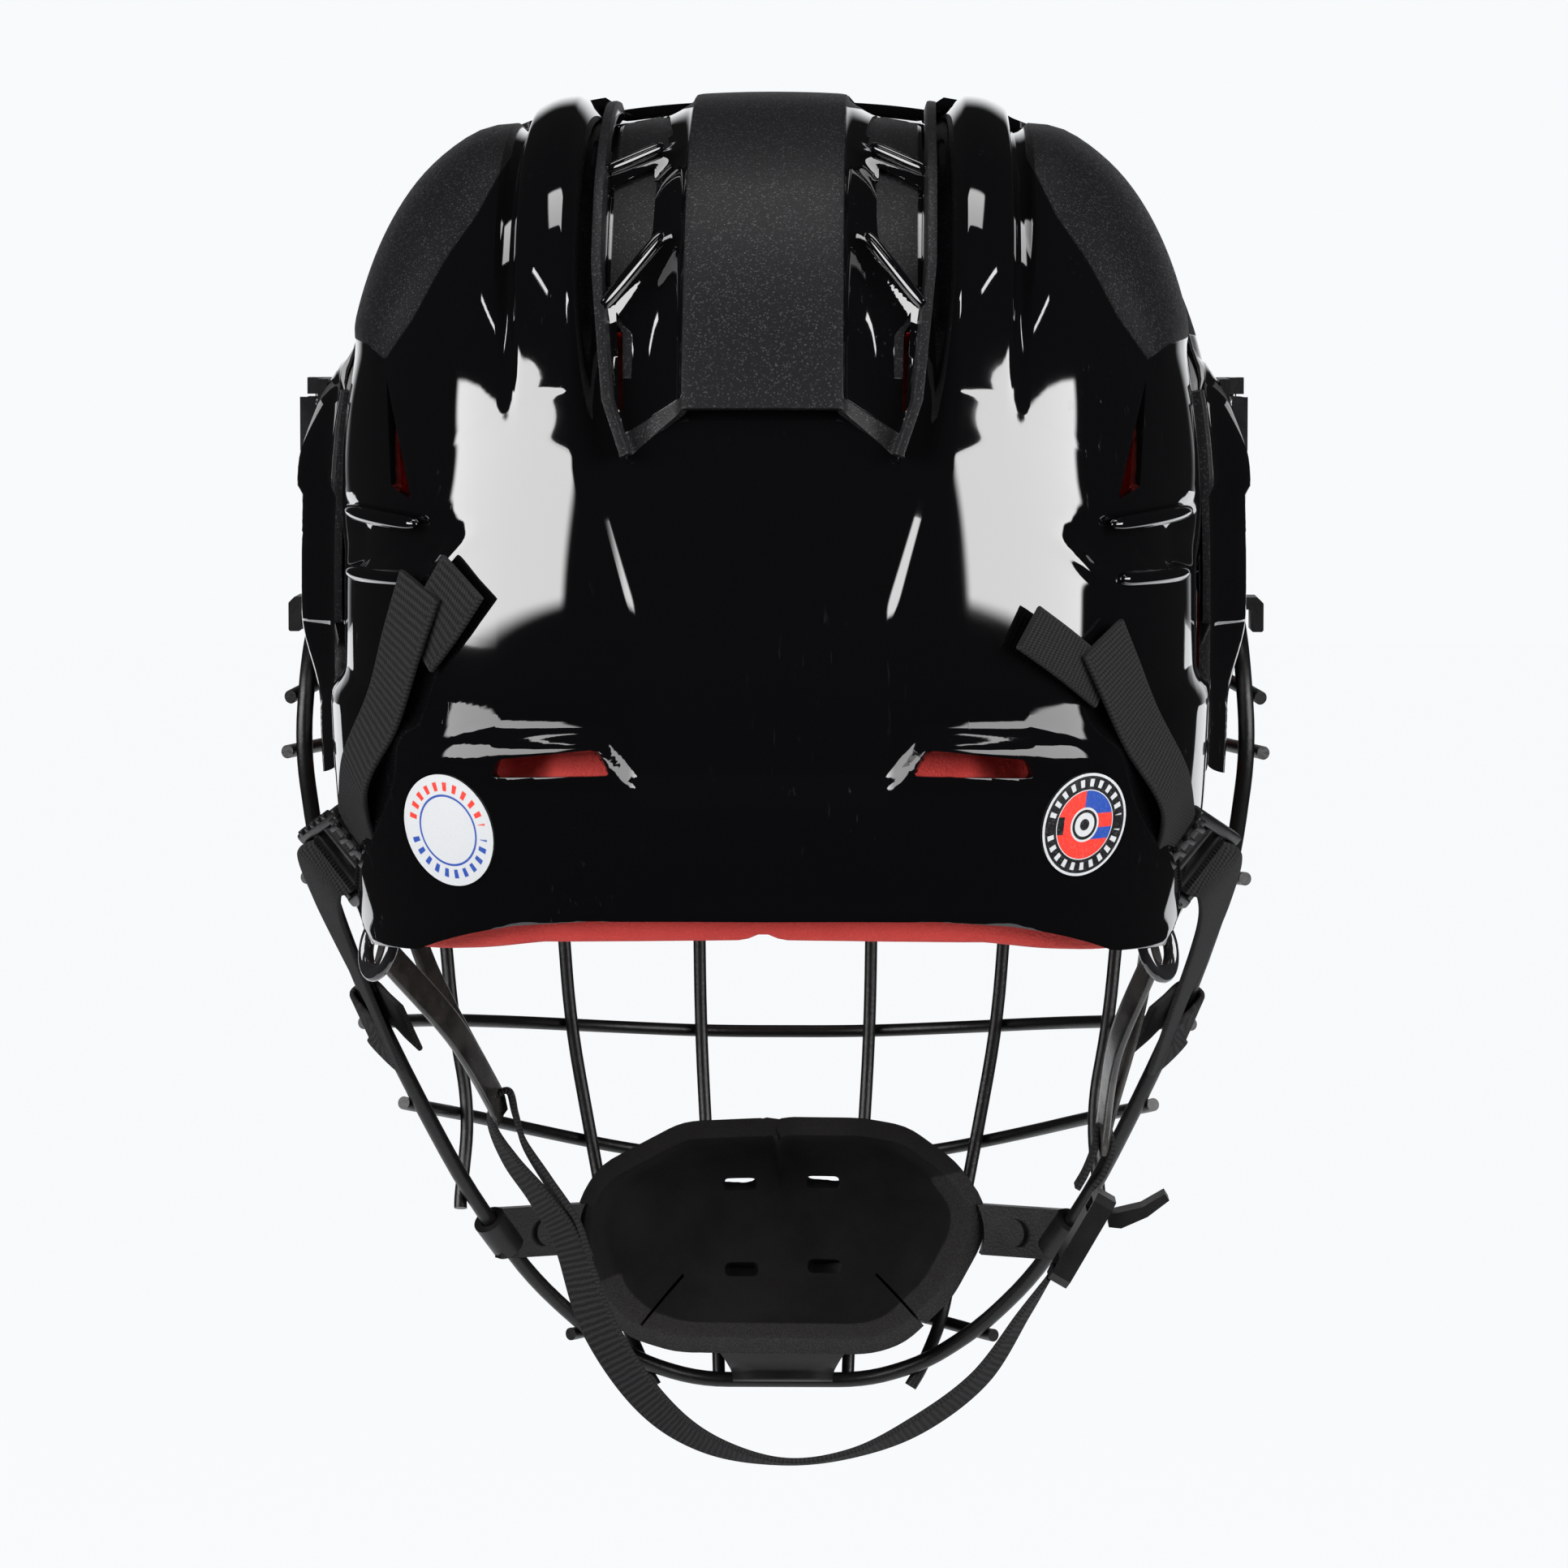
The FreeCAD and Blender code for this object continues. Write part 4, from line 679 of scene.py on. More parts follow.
def front_x(column):
    """How far out a column of the front shell lies."""
    knots = [0, 18, 19.5, 37, 41, 54, 58]
    x = np.interp(column, FRONT_COLUMNS[:-1], knots)
    side, pole = FRONT_COLUMNS[-2:]
    t = np.clip((column - side) / (pole - side), 0, 1)
    start = float(FRONT.scale(np.array(float(knots[-1]))))
    return np.where(column > side, FRONT.x_at(start * (1 - t)), x)


def front_height(p, column):
    """How far the front shell stands off its dome."""
    x, y, z = np.abs(p[:, 0]), p[:, 1], p[:, 2]
    rise = ease(92, 140, z)
    bump = np.interp(column, FRONT_COLUMNS, [-2.6, -2.6, -4.2, -4.6, -1.0, -1.0, -1.8, 0.2])
    # The sides swell before the ears and draw in behind them and above them.
    side = ease(70, 100, x)
    swell = ease(99, 76, z) * ease(20, 42, z) * ease(-22, -4, y) * ease(18, 8, y) * side
    pinch = ease(-3, -22, y) * ease(112, 96, z) * side
    above = ease(92, 106, z) * ease(150, 125, z) * ease(76, 96, x) * ease(34, 8, y) * (1 - pinch)
    h = bump * rise + sizes().bulge / MM * swell - 5.2 * pinch - 4.0 * above
    # Shallow steps along the side, above the ears.
    step = inside_distance(y, z, [(-22, 104), (-6, 104), (26, 92), (60, 78), (60, 66), (-2, 70), (-22, 72)])
    h = h + 1.5 * ease(-0.8, 1.4, step) * side
    brow = ease(9, 1, z - np.interp(y, [44, 60, 100, 140], [36, 46, 52, 60.5])) * ease(40, 70, y)
    return h + 1.1 * brow


class HELMET_OT_front_shell(bpy.types.Operator):
    """Builds the front shell with its ribs, brim, flared sides and vents"""

    bl_idname = "helmet.front_shell"
    bl_label = "Front shell"

    def patch(self, name, start, end, lines, along, side=None):
        """A run of the shell between two sweep angles for each lateral line.

        Without a side it spans both, and its rear edge has a flange that turns in towards the rear shell."""
        first, last = lines
        count = (last - first) if side else 2 * last
        obj, u, v = grid(name, count, along)
        if side:
            column = first + np.rint(u * count)
            sign = np.full_like(column, side)
        else:
            signed = np.rint(u * count) - last
            column, sign = np.abs(signed), np.sign(signed)
        which = column.astype(int)
        share = v if side else np.clip((v * along - 1) / (along - 1), 0, 1)
        sweep = start[which] + (end[which] - start[which]) * share
        x = front_x(column) * sign
        p = FRONT.points(x, sweep)
        out = FRONT.normals(np.where(np.abs(p) < 1e-6, 1e-6, p))
        p = p + out * front_height(p, column)[:, None]
        if not side:
            edge = np.rint(v * along) < 1
            room = np.clip((REAR.field(p) - 1) * 96 - 1.4, 0, 7) * ease(122, 108, p[:, 2])
            p = p - out * (room * edge)[:, None]
        set_points(obj, p * MM)
        return obj

    def execute(self, context):
        last = FRONT_COLUMNS[-1]
        x = front_x(np.arange(last + 1.0))
        start = np.maximum(reach_of(FRONT, x, 130, -1.0, FRONT_OUTLINE, 130), 0.0)
        stop = reach_of(FRONT, x, 130, 1.0, FRONT_OUTLINE, 230)
        # The lines near the side's pole stop where the last line outside them does. What lies below
        # the pole, as the lobe beside the ear, is a patch of its own on each side.
        inner = FRONT.scale(x) * FRONT.reach < 43.0
        first = int(np.argmax(inner))
        upper_stop = np.where(inner, stop[first - 1], stop)
        lower_stop = np.where(stop > 357, 360.0, stop)
        pieces = [self.patch("front_upper", start, upper_stop, (0, last), 120)]
        for name, side in SIDES:
            pieces.append(self.patch("front_lower_" + name, upper_stop, lower_stop, (first, last), 60, side))
        obj = join(pieces, "helmet_front_shell")
        merge(obj, 0.0002)
        open_vents(obj, mirrored_vents([(22, 100), (36, 96), (32, 106), (22, 109)], 1.5, 60, False))
        wall(obj, sizes().wall, 0.0006)
        p = points_of(obj) / MM
        x, z = np.abs(p[:, 0]), p[:, 2]
        corner = [(NOTCH_X, 190), (NOTCH_X, 140), (84, 112), (120, 104), (120, 190)]
        matt = np.where(z > 96, np.maximum(18.6 - x, inside_distance(x, z, corner)), ALL_GLOSS)
        rim = np.where((z > 2) & (z < 97), -20.9 - p[:, 1], ALL_GLOSS)
        paint(obj, "matt", np.maximum(matt, rim))
        smooth(obj)
        finish(obj, "front_helmet", shell_material("front shell plastic"), "gloss_shell", "front_shell")
        return {"FINISHED"}


# ------------------------------------------------------------------ finishes


class Socket:
    """A shader value that takes part in sums."""

    def __init__(self, graph, link):
        self.graph, self.link = graph, link

    def math(self, kind, first, second=None):
        values = {0: first}
        if second is not None:
            values[1] = second
        return self.graph.node("ShaderNodeMath", {"operation": kind}, values)

    def __add__(self, other):
        return self.math("ADD", self, other)

    def __radd__(self, other):
        return self.math("ADD", other, self)

    def __sub__(self, other):
        return self.math("SUBTRACT", self, other)

    def __rsub__(self, other):
        return self.math("SUBTRACT", other, self)

    def __mul__(self, other):
        return self.math("MULTIPLY", self, other)

    def __rmul__(self, other):
        return self.math("MULTIPLY", other, self)

    def __abs__(self):
        return self.math("ABSOLUTE", self)

    def greatest(self, other):
        return self.math("MAXIMUM", self, other)

    def root(self):
        return self.math("SQRT", self)

    def wave(self):
        return self.math("SINE", self)

    def ramp(self, low, high, start=0.0, end=1.0):
        """Goes smoothly from the start to the end while the value goes from low to high."""
        return self.graph.node(
            "ShaderNodeMapRange",
            {"interpolation_type": "SMOOTHSTEP"},
            {"Value": self, "From Min": low, "From Max": high, "To Min": start, "To Max": end},
        )


class Graph:
    """The nodes of a material, a lamp or the world, and the node that ends them."""

    def __init__(self, owner, shader="Principled BSDF"):
        owner.use_nodes = True
        self.tree = owner.node_tree
        self.shader = self.tree.nodes[shader]

    def node(self, kind, settings, values, output=0):
        """Adds a node, with its settings first and then its sockets' values or links."""
        item = self.tree.nodes.new(kind)
        for key, value in settings.items():
            setattr(item, key, value)
        for key, value in values.items():
            self.feed(item.inputs[key], value)
        return Socket(self, item.outputs[output])

    def feed(self, socket, value):
        if isinstance(value, Socket):
            self.tree.links.new(value.link, socket)
        elif hasattr(value, "__len__") and len(value) == 3 and len(socket.default_value) == 4:
            socket.default_value = (*value, 1)
        else:
            socket.default_value = value

    def set(self, **values):
        for key, value in values.items():
            self.feed(self.shader.inputs[key.replace("_", " ")], value)

    def parts(self, vector):
        """A vector's first two numbers."""
        split = self.node("ShaderNodeSeparateXYZ", {}, {"Vector": vector}).link.node
        return [Socket(self, split.outputs[index]) for index in (0, 1)]

    def own_map(self):
        """The piece's own two coordinates."""
        return self.parts(self.node("ShaderNodeUVMap", {}, {}))

    def ray(self, kind):
        """1 for light that is seen directly, in gloss or through glass."""
        return self.node("ShaderNodeLightPath", {}, {}, f"Is {kind} Ray")

    def place(self):
        return self.node("ShaderNodeTexCoord", {}, {}, "Object")

    def number(self, name):
        return self.node("ShaderNodeAttribute", {"attribute_name": name}, {}, "Fac")

    def noise(self, scale, detail=3.0, at=None, rough=0.5):
        values = {"Scale": scale, "Detail": detail, "Roughness": rough, "Vector": at or self.place()}
        return self.node("ShaderNodeTexNoise", {}, values, "Fac")

    def cells(self, scale, at=None, output="Distance"):
        return self.node("ShaderNodeTexVoronoi", {}, {"Scale": scale, "Vector": at or self.place()}, output)

    def blend(self, share, first, second, colour=True):
        """Goes from the first colour or number to the second."""
        kind, start, output = ("RGBA", 6, 2) if colour else ("FLOAT", 2, 0)
        values = {0: share, start: first, start + 1: second}
        return self.node("ShaderNodeMix", {"data_type": kind}, values, output)

    def bump(self, height, distance, strength=1.0):
        return self.node("ShaderNodeBump", {}, {"Height": height, "Distance": distance, "Strength": strength})


MADE = {}


def made(name, recipe):
    """A material by its name, made from its recipe the first time."""
    if name not in MADE:
        MADE[name] = bpy.data.materials.new(name)
        recipe(Graph(MADE[name]))
    return MADE[name]


def recipe_for(name):
    """Turns a recipe into a function that gives its one material."""
    return lambda recipe: lambda: made(name, recipe)


def shell_material(name):
    """Gloss plastic with hairline scratches, and fine sparkling matt plastic where the mask says."""

    def build(g):
        c = colours()
        mask = g.number("matt").ramp(-0.22, 0.22)
        stretched = g.node("ShaderNodeMapping", {}, {"Vector": g.place(), "Scale": (900, 900, 90)})
        scratch = g.noise(1.0, 2.0, stretched).ramp(0.66, 0.74)
        wear = g.noise(28.0, 3.0).ramp(0.5, 0.72)
        grain = g.noise(2600.0, 2.0)
        flakes = g.cells(3600.0, output="Color")
        flake = g.node("ShaderNodeSeparateColor", {}, {"Color": flakes}, 0).ramp(0.86, 0.98)
        dark = g.blend(scratch * wear * 0.25, c.gloss, (0.03, 0.03, 0.034))
        dull = g.blend(flake * 0.35, c.matt, (0.1, 0.1, 0.105))
        g.set(Base_Color=g.blend(mask, dark, dull))
        shine = 0.035 + scratch * wear * 0.12 + g.noise(9.0).ramp(0.4, 0.8) * 0.03
        rough = 0.46 - flake * 0.16
        g.set(Roughness=shine * (1 - mask) + rough * mask)
        g.set(Coat_Weight=(1 - mask) * (1 - g.number("thin_coat").ramp(0.0, 1.0) * 0.72))
        g.set(IOR=1.45, Specular_IOR_Level=0.22, Coat_Roughness=0.03, Coat_IOR=1.62)
        waves = (g.noise(22.0, 1.5) * 1.1 + scratch * wear * 0.05) * (1 - mask)
        g.set(Normal=g.bump(waves + grain * mask * 0.16 + flake * mask * 0.1, 0.001, 0.55))

    return made(name, build)


@recipe_for("moulded plastic")
def moulded_material(g):
    g.set(Base_Color=g.blend(g.noise(60.0).ramp(0.4, 0.7), colours().moulded, (0.0075, 0.0075, 0.008)))
    g.set(Roughness=0.3 + g.noise(120.0) * 0.18, Specular_IOR_Level=0.34)
    g.set(Normal=g.bump(g.noise(1500.0, 2.0), 0.0001, 0.5))


@recipe_for("gloss trim plastic")
def trim_material(g):
    g.set(Base_Color=g.blend(g.noise(90.0).ramp(0.4, 0.7), (0.012, 0.012, 0.013), (0.024, 0.024, 0.026)))
    g.set(Roughness=0.06 + g.noise(70.0) * 0.06, Coat_Weight=1.0, Coat_Roughness=0.04)
    g.set(Normal=g.bump(g.noise(50.0), 0.0004, 0.3))


@recipe_for("cage paint")
def wire_material(g):
    worn = g.noise(70.0, 4.0).ramp(0.66, 0.8)
    g.set(Base_Color=g.blend(worn * 0.4, colours().wire, (0.03, 0.03, 0.032)))
    g.set(Roughness=0.3 + g.noise(150.0) * 0.16, Specular_IOR_Level=0.36)
    g.set(Normal=g.bump(g.noise(900.0, 2.0), 0.0002, 0.35))


@recipe_for("liner foam")
def liner_material(g):
    cell = g.cells(1500.0)
    soft = g.noise(40.0, 4.0)
    base = g.blend(soft.ramp(0.3, 0.75), colours().liner, (0.47, 0.035, 0.03))
    g.set(Base_Color=g.blend(cell.ramp(0.0, 0.5, 0.3, 0.0), base, (0.66, 0.1, 0.085)))
    g.set(Roughness=0.74 + soft * 0.15, Specular_IOR_Level=0.3)
    g.set(Normal=g.bump(cell * 0.7 + g.noise(700.0) * 0.6, 0.0004, 0.6))


@recipe_for("cup foam")
def cup_material(g):
    """Smooth foam skin, and open cells where the foam is cut."""
    edge = g.number("cut_edge").ramp(0.2, 0.6)
    cell = g.cells(2400.0)
    skin = g.blend(g.noise(50.0, 4.0).ramp(0.35, 0.7), colours().cup, (0.0075, 0.0072, 0.0076))
    sawn = g.blend(cell.ramp(0.1, 0.6), (0.034, 0.033, 0.034), (0.017, 0.0165, 0.017))
    g.set(Base_Color=g.blend(edge, skin, sawn))
    g.set(Roughness=0.82 + g.noise(300.0) * 0.14, Specular_IOR_Level=0.12)
    g.set(Normal=g.bump(cell * (0.5 + edge * 0.8) + g.noise(900.0) * 0.4, 0.0003, 0.6))


@recipe_for("ear loop plastic")
def loop_material(g):
    g.set(Base_Color=g.blend(g.noise(80.0).ramp(0.35, 0.7), colours().loop, (0.011, 0.0105, 0.01)))
    g.set(Roughness=0.2 + g.noise(200.0) * 0.12, Specular_IOR_Level=0.6)
    g.set(Normal=g.bump(g.noise(1200.0), 0.0001, 0.4))


def webbing_material(name, pitch_share=1.0, depth=1.0):
    """Ribs across the strap, yarns along it and a bound edge, on the strap's own length and width."""

    def build(g):
        pitch = sizes().rib_pitch * pitch_share
        turn, yarns, stitch_pitch = 2 * math.pi, 9, 0.0011
        along, over = g.own_map()
        wander = g.noise(300.0, 2.0) - 0.5
        rib = ((along + wander * pitch * 0.35) * (turn / pitch)).wave()
        yarn = (over * (turn * yarns) + along * (math.pi / pitch)).wave()
        edge = abs(over).ramp(0.84, 0.9)
        stitch = (along * (turn / stitch_pitch)).wave()
        cloth = rib * 0.55 + yarn * 0.3
        height = cloth * (1 - edge) + stitch * edge * 0.4
        fuzz = g.noise(2500.0, 3.0)
        # Painted shade and light: the colour follows the weave's height, darker in the grooves and lighter on
        # the ribs' tops, with random fibre fuzz on top.
        tone = (height * 0.5 + 0.5) * 0.75 + fuzz * 0.35
        lit_rib_colour = tuple(level * 3.4 for level in colours().web)
        # The dark colour is painted shade in the grooves, and the light one is painted light on the ribs'
        # tops.
        g.set(Base_Color=g.blend(tone.ramp(0.1, 1.0), (0.0024, 0.0024, 0.0027), lit_rib_colour))
        g.set(Roughness=0.74 + fuzz * 0.2, Specular_IOR_Level=0.22)
        g.set(Normal=g.bump(height + fuzz * 0.6, 0.00022 * depth, 0.9))

    return made(name, build)


# ------------------------------------------------------------------ stage


def look_at(place, target):
    return (Vector(target) - Vector(place)).to_track_quat("-Z", "Y").to_euler()


def soft_box(name, place, target, size, power, slant=0.0):
    """A softbox that fades out at its edges. Its upper and lower edges may slant."""
    data = bpy.data.lights.new(name, "AREA")
    data.shape = "RECTANGLE"
    (data.size, data.size_y), data.energy = size, power
    g = Graph(data, "Emission")
    across, up = g.parts(g.node("ShaderNodeNewGeometry", {}, {}, "Parametric"))
    up = up + (across * slant - slant / 2)
    share = across.ramp(0.0, 0.06) * across.ramp(1.0, 0.94) * (up.ramp(0.0, 0.08) * up.ramp(1.0, 0.97))
    g.set(Strength=share)
    lamp = bpy.data.objects.new(name, data)
    bpy.context.scene.collection.objects.link(lamp)
    lamp.location, lamp.rotation_euler = place, look_at(place, target)


FLOOR_DROP = 0.42
CAMERA_PLACE, CAMERA_TARGET = (0.032, -1.595, 0.125), (0.0025, 0, 0)


class HELMET_OT_stage(bpy.types.Operator):
    """Sets the floor, the studio light and the camera"""

    bl_idname = "helmet.stage"
    bl_label = "Stage"

    def floor(self):
        """A plane that widens away from the camera. It shows the backdrop's colour and keeps the shadow."""
        deselect()
        bpy.ops.mesh.primitive_plane_add(size=1, location=(0, 0, 0))
        floor = named("studio_floor")
        low = CAD_BOX[0][2] - FLOOR_DROP
        set_points(floor, np.array([(-0.5, -0.35, low), (0.5, -0.35, low), (-4.6, 11, low), (4.6, 11, low)]))
        material = bpy.data.materials.new("studio floor")
        g = Graph(material)
        g.set(Base_Color=(0.9, 0.91, 0.92), Roughness=0.9, Specular_IOR_Level=0.1)
        seen = g.ray("Camera").greatest(g.ray("Glossy")).greatest(g.ray("Transmission"))
        glow = g.node("ShaderNodeEmission", {}, {"Color": colours().backdrop, "Strength": 1.035})
        plain = Socket(g, g.shader.outputs[0])
        mix = g.node("ShaderNodeMixShader", {}, {0: seen * 0.94, 1: plain, 2: glow})
        g.feed(g.tree.nodes["Material Output"].inputs["Surface"], mix)
        floor.data.materials.append(material)

    def world(self):
        """A pale backdrop. In gloss it shows only straight ahead, along +Y."""
        world = bpy.data.worlds.new("studio")
        bpy.context.scene.world = world
        g = Graph(world, "Background")
        ahead = g.parts(g.node("ShaderNodeTexCoord", {}, {}, "Generated"))[1].ramp(0.93, 0.999, 0.01, 1.0)
        strength = g.blend(g.ray("Glossy"), 0.42, ahead, False)
        strength = g.blend(g.ray("Transmission"), strength, 1.0, False)
        g.set(Color=colours().backdrop, Strength=g.blend(g.ray("Camera"), strength, 1.0, False))

    def execute(self, context):
        self.floor()
        self.world()
        for name, side in SIDES:
            soft_box("key_" + name, (1.12 * side, -0.79, 0.34), (0, 0, 0), (1.36, 0.78), 31, 0.22 * side)
            soft_box("high_" + name, (0.8 * side, -0.6, 1.2), (0, 0, 0.02), (0.6, 0.06), 1.1)
        soft_box("top", (0, 0.1, 1.5), (0, 0, 0), (0.9, 0.5), 6)

        data = bpy.data.cameras.new("camera")
        data.lens, data.sensor_width = 152, 36
        data.clip_start, data.clip_end = 0.05, 60
        camera = bpy.data.objects.new("camera", data)
        context.scene.collection.objects.link(camera)
        camera.location, camera.rotation_euler = CAMERA_PLACE, look_at(CAMERA_PLACE, CAMERA_TARGET)
        context.scene.camera = camera
        context.scene.view_settings.view_transform = "Standard"
        return {"FINISHED"}


# ------------------------------------------------------------------ carried-over parts


def copy_of(node, name):
    """A loose copy of a carried-over piece."""
    deselect()
    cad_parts[node].select_set(True)
    bpy.context.view_layer.objects.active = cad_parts[node]
    bpy.ops.object.duplicate()
    obj = named(name)
    obj.parent = None
    obj.matrix_world = Matrix()
    for key in list(obj.keys()):
        del obj[key]
    return obj


CROSSWIRE_TRIM = 0.0031


class HELMET_OT_hardware(bpy.types.Operator):
    """Gives the carried-over pieces their finishes, trims the crosswires and waists the chin cup's tab"""

    bl_idname = "helmet.hardware"
    bl_label = "Cage and hardware finishes"

    def execute(self, context):
        for name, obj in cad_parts.items():
            material = moulded_material
            if name.startswith(("cage_rim", "cage_bar", "cage_post")):
                material = wire_material
            elif name.startswith(("lock_lever", "clip_nuts", "clip_screws", "lock_pin")):
                material = trim_material
            elif "pad" in name:
                material = liner_material
            obj.data.materials.clear()
            obj.data.materials.append(material())
        self.tab()
        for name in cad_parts:
            if name.startswith(("cage_bar", "cage_post_inner", "cage_post_outer")):
                self.trim(name)
        return {"FINISHED"}

    def trim(self, name):
        """Cuts a crosswire's two ends off, so that they end just past the rim."""
        obj = copy_of(name, "helmet_" + name)
        merge(obj, 0.00002, False)
        along = 0 if "bar" in name else 2
        for end in (-1, 1):
            p = points_of(obj)
            tip = p[(p[:, along] * end) > (p[:, along] * end).max() - 0.0012].mean(axis=0)
            gap = np.linalg.norm(p - tip, axis=1)
            way = unit(tip - p[(gap > 0.004) & (gap < 0.02)].mean(axis=0))
            with editing(obj):
                spot = tip - way * CROSSWIRE_TRIM
                bpy.ops.mesh.bisect(plane_co=spot, plane_no=way, clear_outer=True, use_fill=True)
        finish(obj, "cage", wire_material(), "cage_wire", name)
        smooth(obj, 50)

    def tab(self):
        """The tab below the chin cup, waisted, with its foot round the rim."""
        obj = copy_of("chin_cup_tab", "helmet_cup_tab")
        merge(obj)
        with editing(obj):
            bpy.ops.mesh.subdivide(number_cuts=3)
        p = points_of(obj) / MM
        foot = -163
        p[:, 2] = np.where(p[:, 2] < foot, foot + (p[:, 2] - foot) * 0.4, p[:, 2])
        p[:, 0] *= 1 + 0.38 * ease(-166, -153, p[:, 2]) ** 1.2
        set_points(obj, p * MM)
        finish(obj, "cage", moulded_material(), "moulded_black", "chin_cup_tab")
        smooth(obj, 40)


# ------------------------------------------------------------------ liner

LINER = {
    "rear_helmet": ("rear_pad", "crown_pad", "side_pad_left", "side_pad_right"),
    "front_helmet": ("temple_pad_left", "temple_pad_right", "brow_pad"),
}
LINER_GRAIN = 0.0022


class HELMET_OT_liner(bpy.types.Operator):
    """Rounds the liner's cut foam blocks"""

    bl_idname = "helmet.liner"
    bl_label = "Liner"

    def relieve(self, obj):
        """Cuts the foam back behind the crown's vents and the scoops, so that the shell clears it."""
        p = points_of(obj) / MM
        x, z = np.abs(p[:, 0]), p[:, 2]
        behind = p[:, 1] < 0
        windows = ease(13, 15, x) * ease(43, 41, x) * ease(76, 80, z)
        crown = windows * (9.5 + 4 * ease(24, 27, x) * ease(38, 35, x))
        scoop = ease(-5, -3, inside_distance(x, z, FIN)) * behind * 8
        slot = ease(-4, -2, inside_distance(x, z, SIDE_VENT)) * behind * 10
        nape = ease(-4, -1, inside_distance(x, z, NAPE_VENT)) * behind * (5 + 5 * ease(46, 54, x))
        wanted = np.maximum(np.maximum(crown, scoop), np.maximum(slot, nape))
        depth = (1 - REAR.field(p)) * 118
        p = p - REAR.normals(p) * np.maximum(wanted - depth, 0)[:, None] * (wanted > 0)[:, None]
        # The nape's edge follows the shell's hem, with a notch in the middle.
        x = np.abs(p[:, 0])
        edge = np.interp(x, [0, 1.6, 4, 50, 88, 100], [-24.2, -24.2, -25.8, -26.6, -32.5, -34])
        kept = np.maximum(p[:, 2], edge + 0.2 * np.minimum(p[:, 2] - edge, 0))
        p[:, 2] = np.where(p[:, 1] < -40, kept, p[:, 2])
        set_points(obj, p * MM)

    def execute(self, context):
        for body, names in LINER.items():
            for name in names:
                obj = copy_of(name, "foam_" + name)
                apply(obj, "REMESH", mode="VOXEL", voxel_size=LINER_GRAIN)
                apply(obj, "SMOOTH", factor=0.5, iterations=7)
                self.relieve(obj)
                finish(obj, body, liner_material(), "liner_foam", name)
                smooth(obj, 60)
        return {"FINISHED"}


# ------------------------------------------------------------------ straps


def smooth_line(points, count):
    """A smooth line through points at even steps, with the length so far at each step."""
    points = np.array(points, float)
    padded = np.vstack([2 * points[0] - points[1], points, 2 * points[-1] - points[-2]])
    out = []
    for index in range(1, len(padded) - 2):
        a, b, c, d = padded[index - 1 : index + 3]
        square, cube = 2 * a - 5 * b + 4 * c - d, 3 * b - a - 3 * c + d
        for t in np.linspace(0, 1, 24, endpoint=False):
            out.append(0.5 * (2 * b + (c - a) * t + square * t**2 + cube * t**3))
    out.append(points[-1])
    out = np.array(out)
    length = np.concatenate([[0], np.cumsum(np.linalg.norm(np.diff(out, axis=0), axis=1))])
    at = np.linspace(0, length[-1], count)
    line = np.stack([np.interp(at, length, out[:, axis]) for axis in range(out.shape[1])], axis=1)
    return line, at


def strap_ring(width, thickness):
    """A strap's cross-section, with rounded corners and points across its two faces."""
    half_w, half_t = width / 2, thickness / 2
    r = half_t * 0.8
    ring = []
    for corner_w, corner_t, start in ((1, 1, 0), (-1, 1, 90), (-1, -1, 180), (1, -1, 270)):
        for turn in (0, 45, 90):
            angle = math.radians(start + turn)
            w = corner_w * (half_w - r) + r * math.cos(angle)
            ring.append((w, corner_t * (half_t - r) + r * math.sin(angle)))
        if corner_w * corner_t > 0:
            ring += [(corner_w * share * (half_w - r), corner_t * half_t) for share in (0.6, 0.2, -0.2, -0.6)]
    return np.array(ring)


def band(name, points, sides, width, thickness, step=0.9):
    """A flat strap along a line, in millimetres. Each point has the direction of the strap's width."""
    points, sides = np.array(points, float), unit(np.array(sides, float))
    reach = np.linalg.norm(np.diff(points, axis=0), axis=1).sum()
    # The directions are smoothed together with the points, as if they were so many millimetres long.
    weight = 40
    both, at = smooth_line(np.hstack([points, sides * weight]), max(8, int(reach / step)))
    line, side = both[:, :3], both[:, 3:]
    along = unit(np.gradient(line, axis=0))
    side = unit(side - along * (side * along).sum(1, keepdims=True))
    up = np.cross(side, along)
    ring = strap_ring(width, thickness)
    verts = line[:, None] + side[:, None] * ring[None, :, 0, None] + up[:, None] * ring[None, :, 1, None]
    rows, turns = verts.shape[:2]
    obj, u, v = grid(name, turns, rows - 1)
    i, j = np.rint(u * turns).astype(int) % turns, np.rint(v * (rows - 1)).astype(int)
    set_points(obj, verts[j, i] * MM)
    lay_uv(obj, np.stack([at[j] * MM, ring[i, 0] / (width / 2)], axis=1))
    with editing(obj):
        bpy.ops.mesh.remove_doubles(threshold=0.00001)
        bpy.ops.mesh.select_all(action="DESELECT")
        bpy.ops.mesh.select_mode(type="EDGE")
        bpy.ops.mesh.select_non_manifold(extend=False)
        bpy.ops.mesh.edge_face_add()
        bpy.ops.mesh.select_all(action="SELECT")
        bpy.ops.mesh.normals_make_consistent(inside=False)
    smooth(obj, 60)
    return obj


def on_shell(side, x, z, off=0.0):
    """A point on the rear shell, which stands further off its dome below the ledge's edge."""
    return REAR.on_back(side * x, z, 1.5 + 3.3 * float(ease(23, 15, z)) + off)


def ladder_frame(side):
    """The ladder lock's centre with its across, up and outward directions."""
    across = unit(np.array([0.62 * side, 0.0, 0.78]))
    up = unit(np.array([-0.27 * side, -0.86, 0.40]))
    up = unit(up - across * (up @ across))
    out = np.cross(across, up)
    return np.array([side * 97.6, -68.0, -11.5]), across, up, out * np.sign(out[0] * side)


STRAP, CHIN_STRAP, CHIN_LINK, EAR_LOOP = 15.0, 10.6, 10.4, 8.4


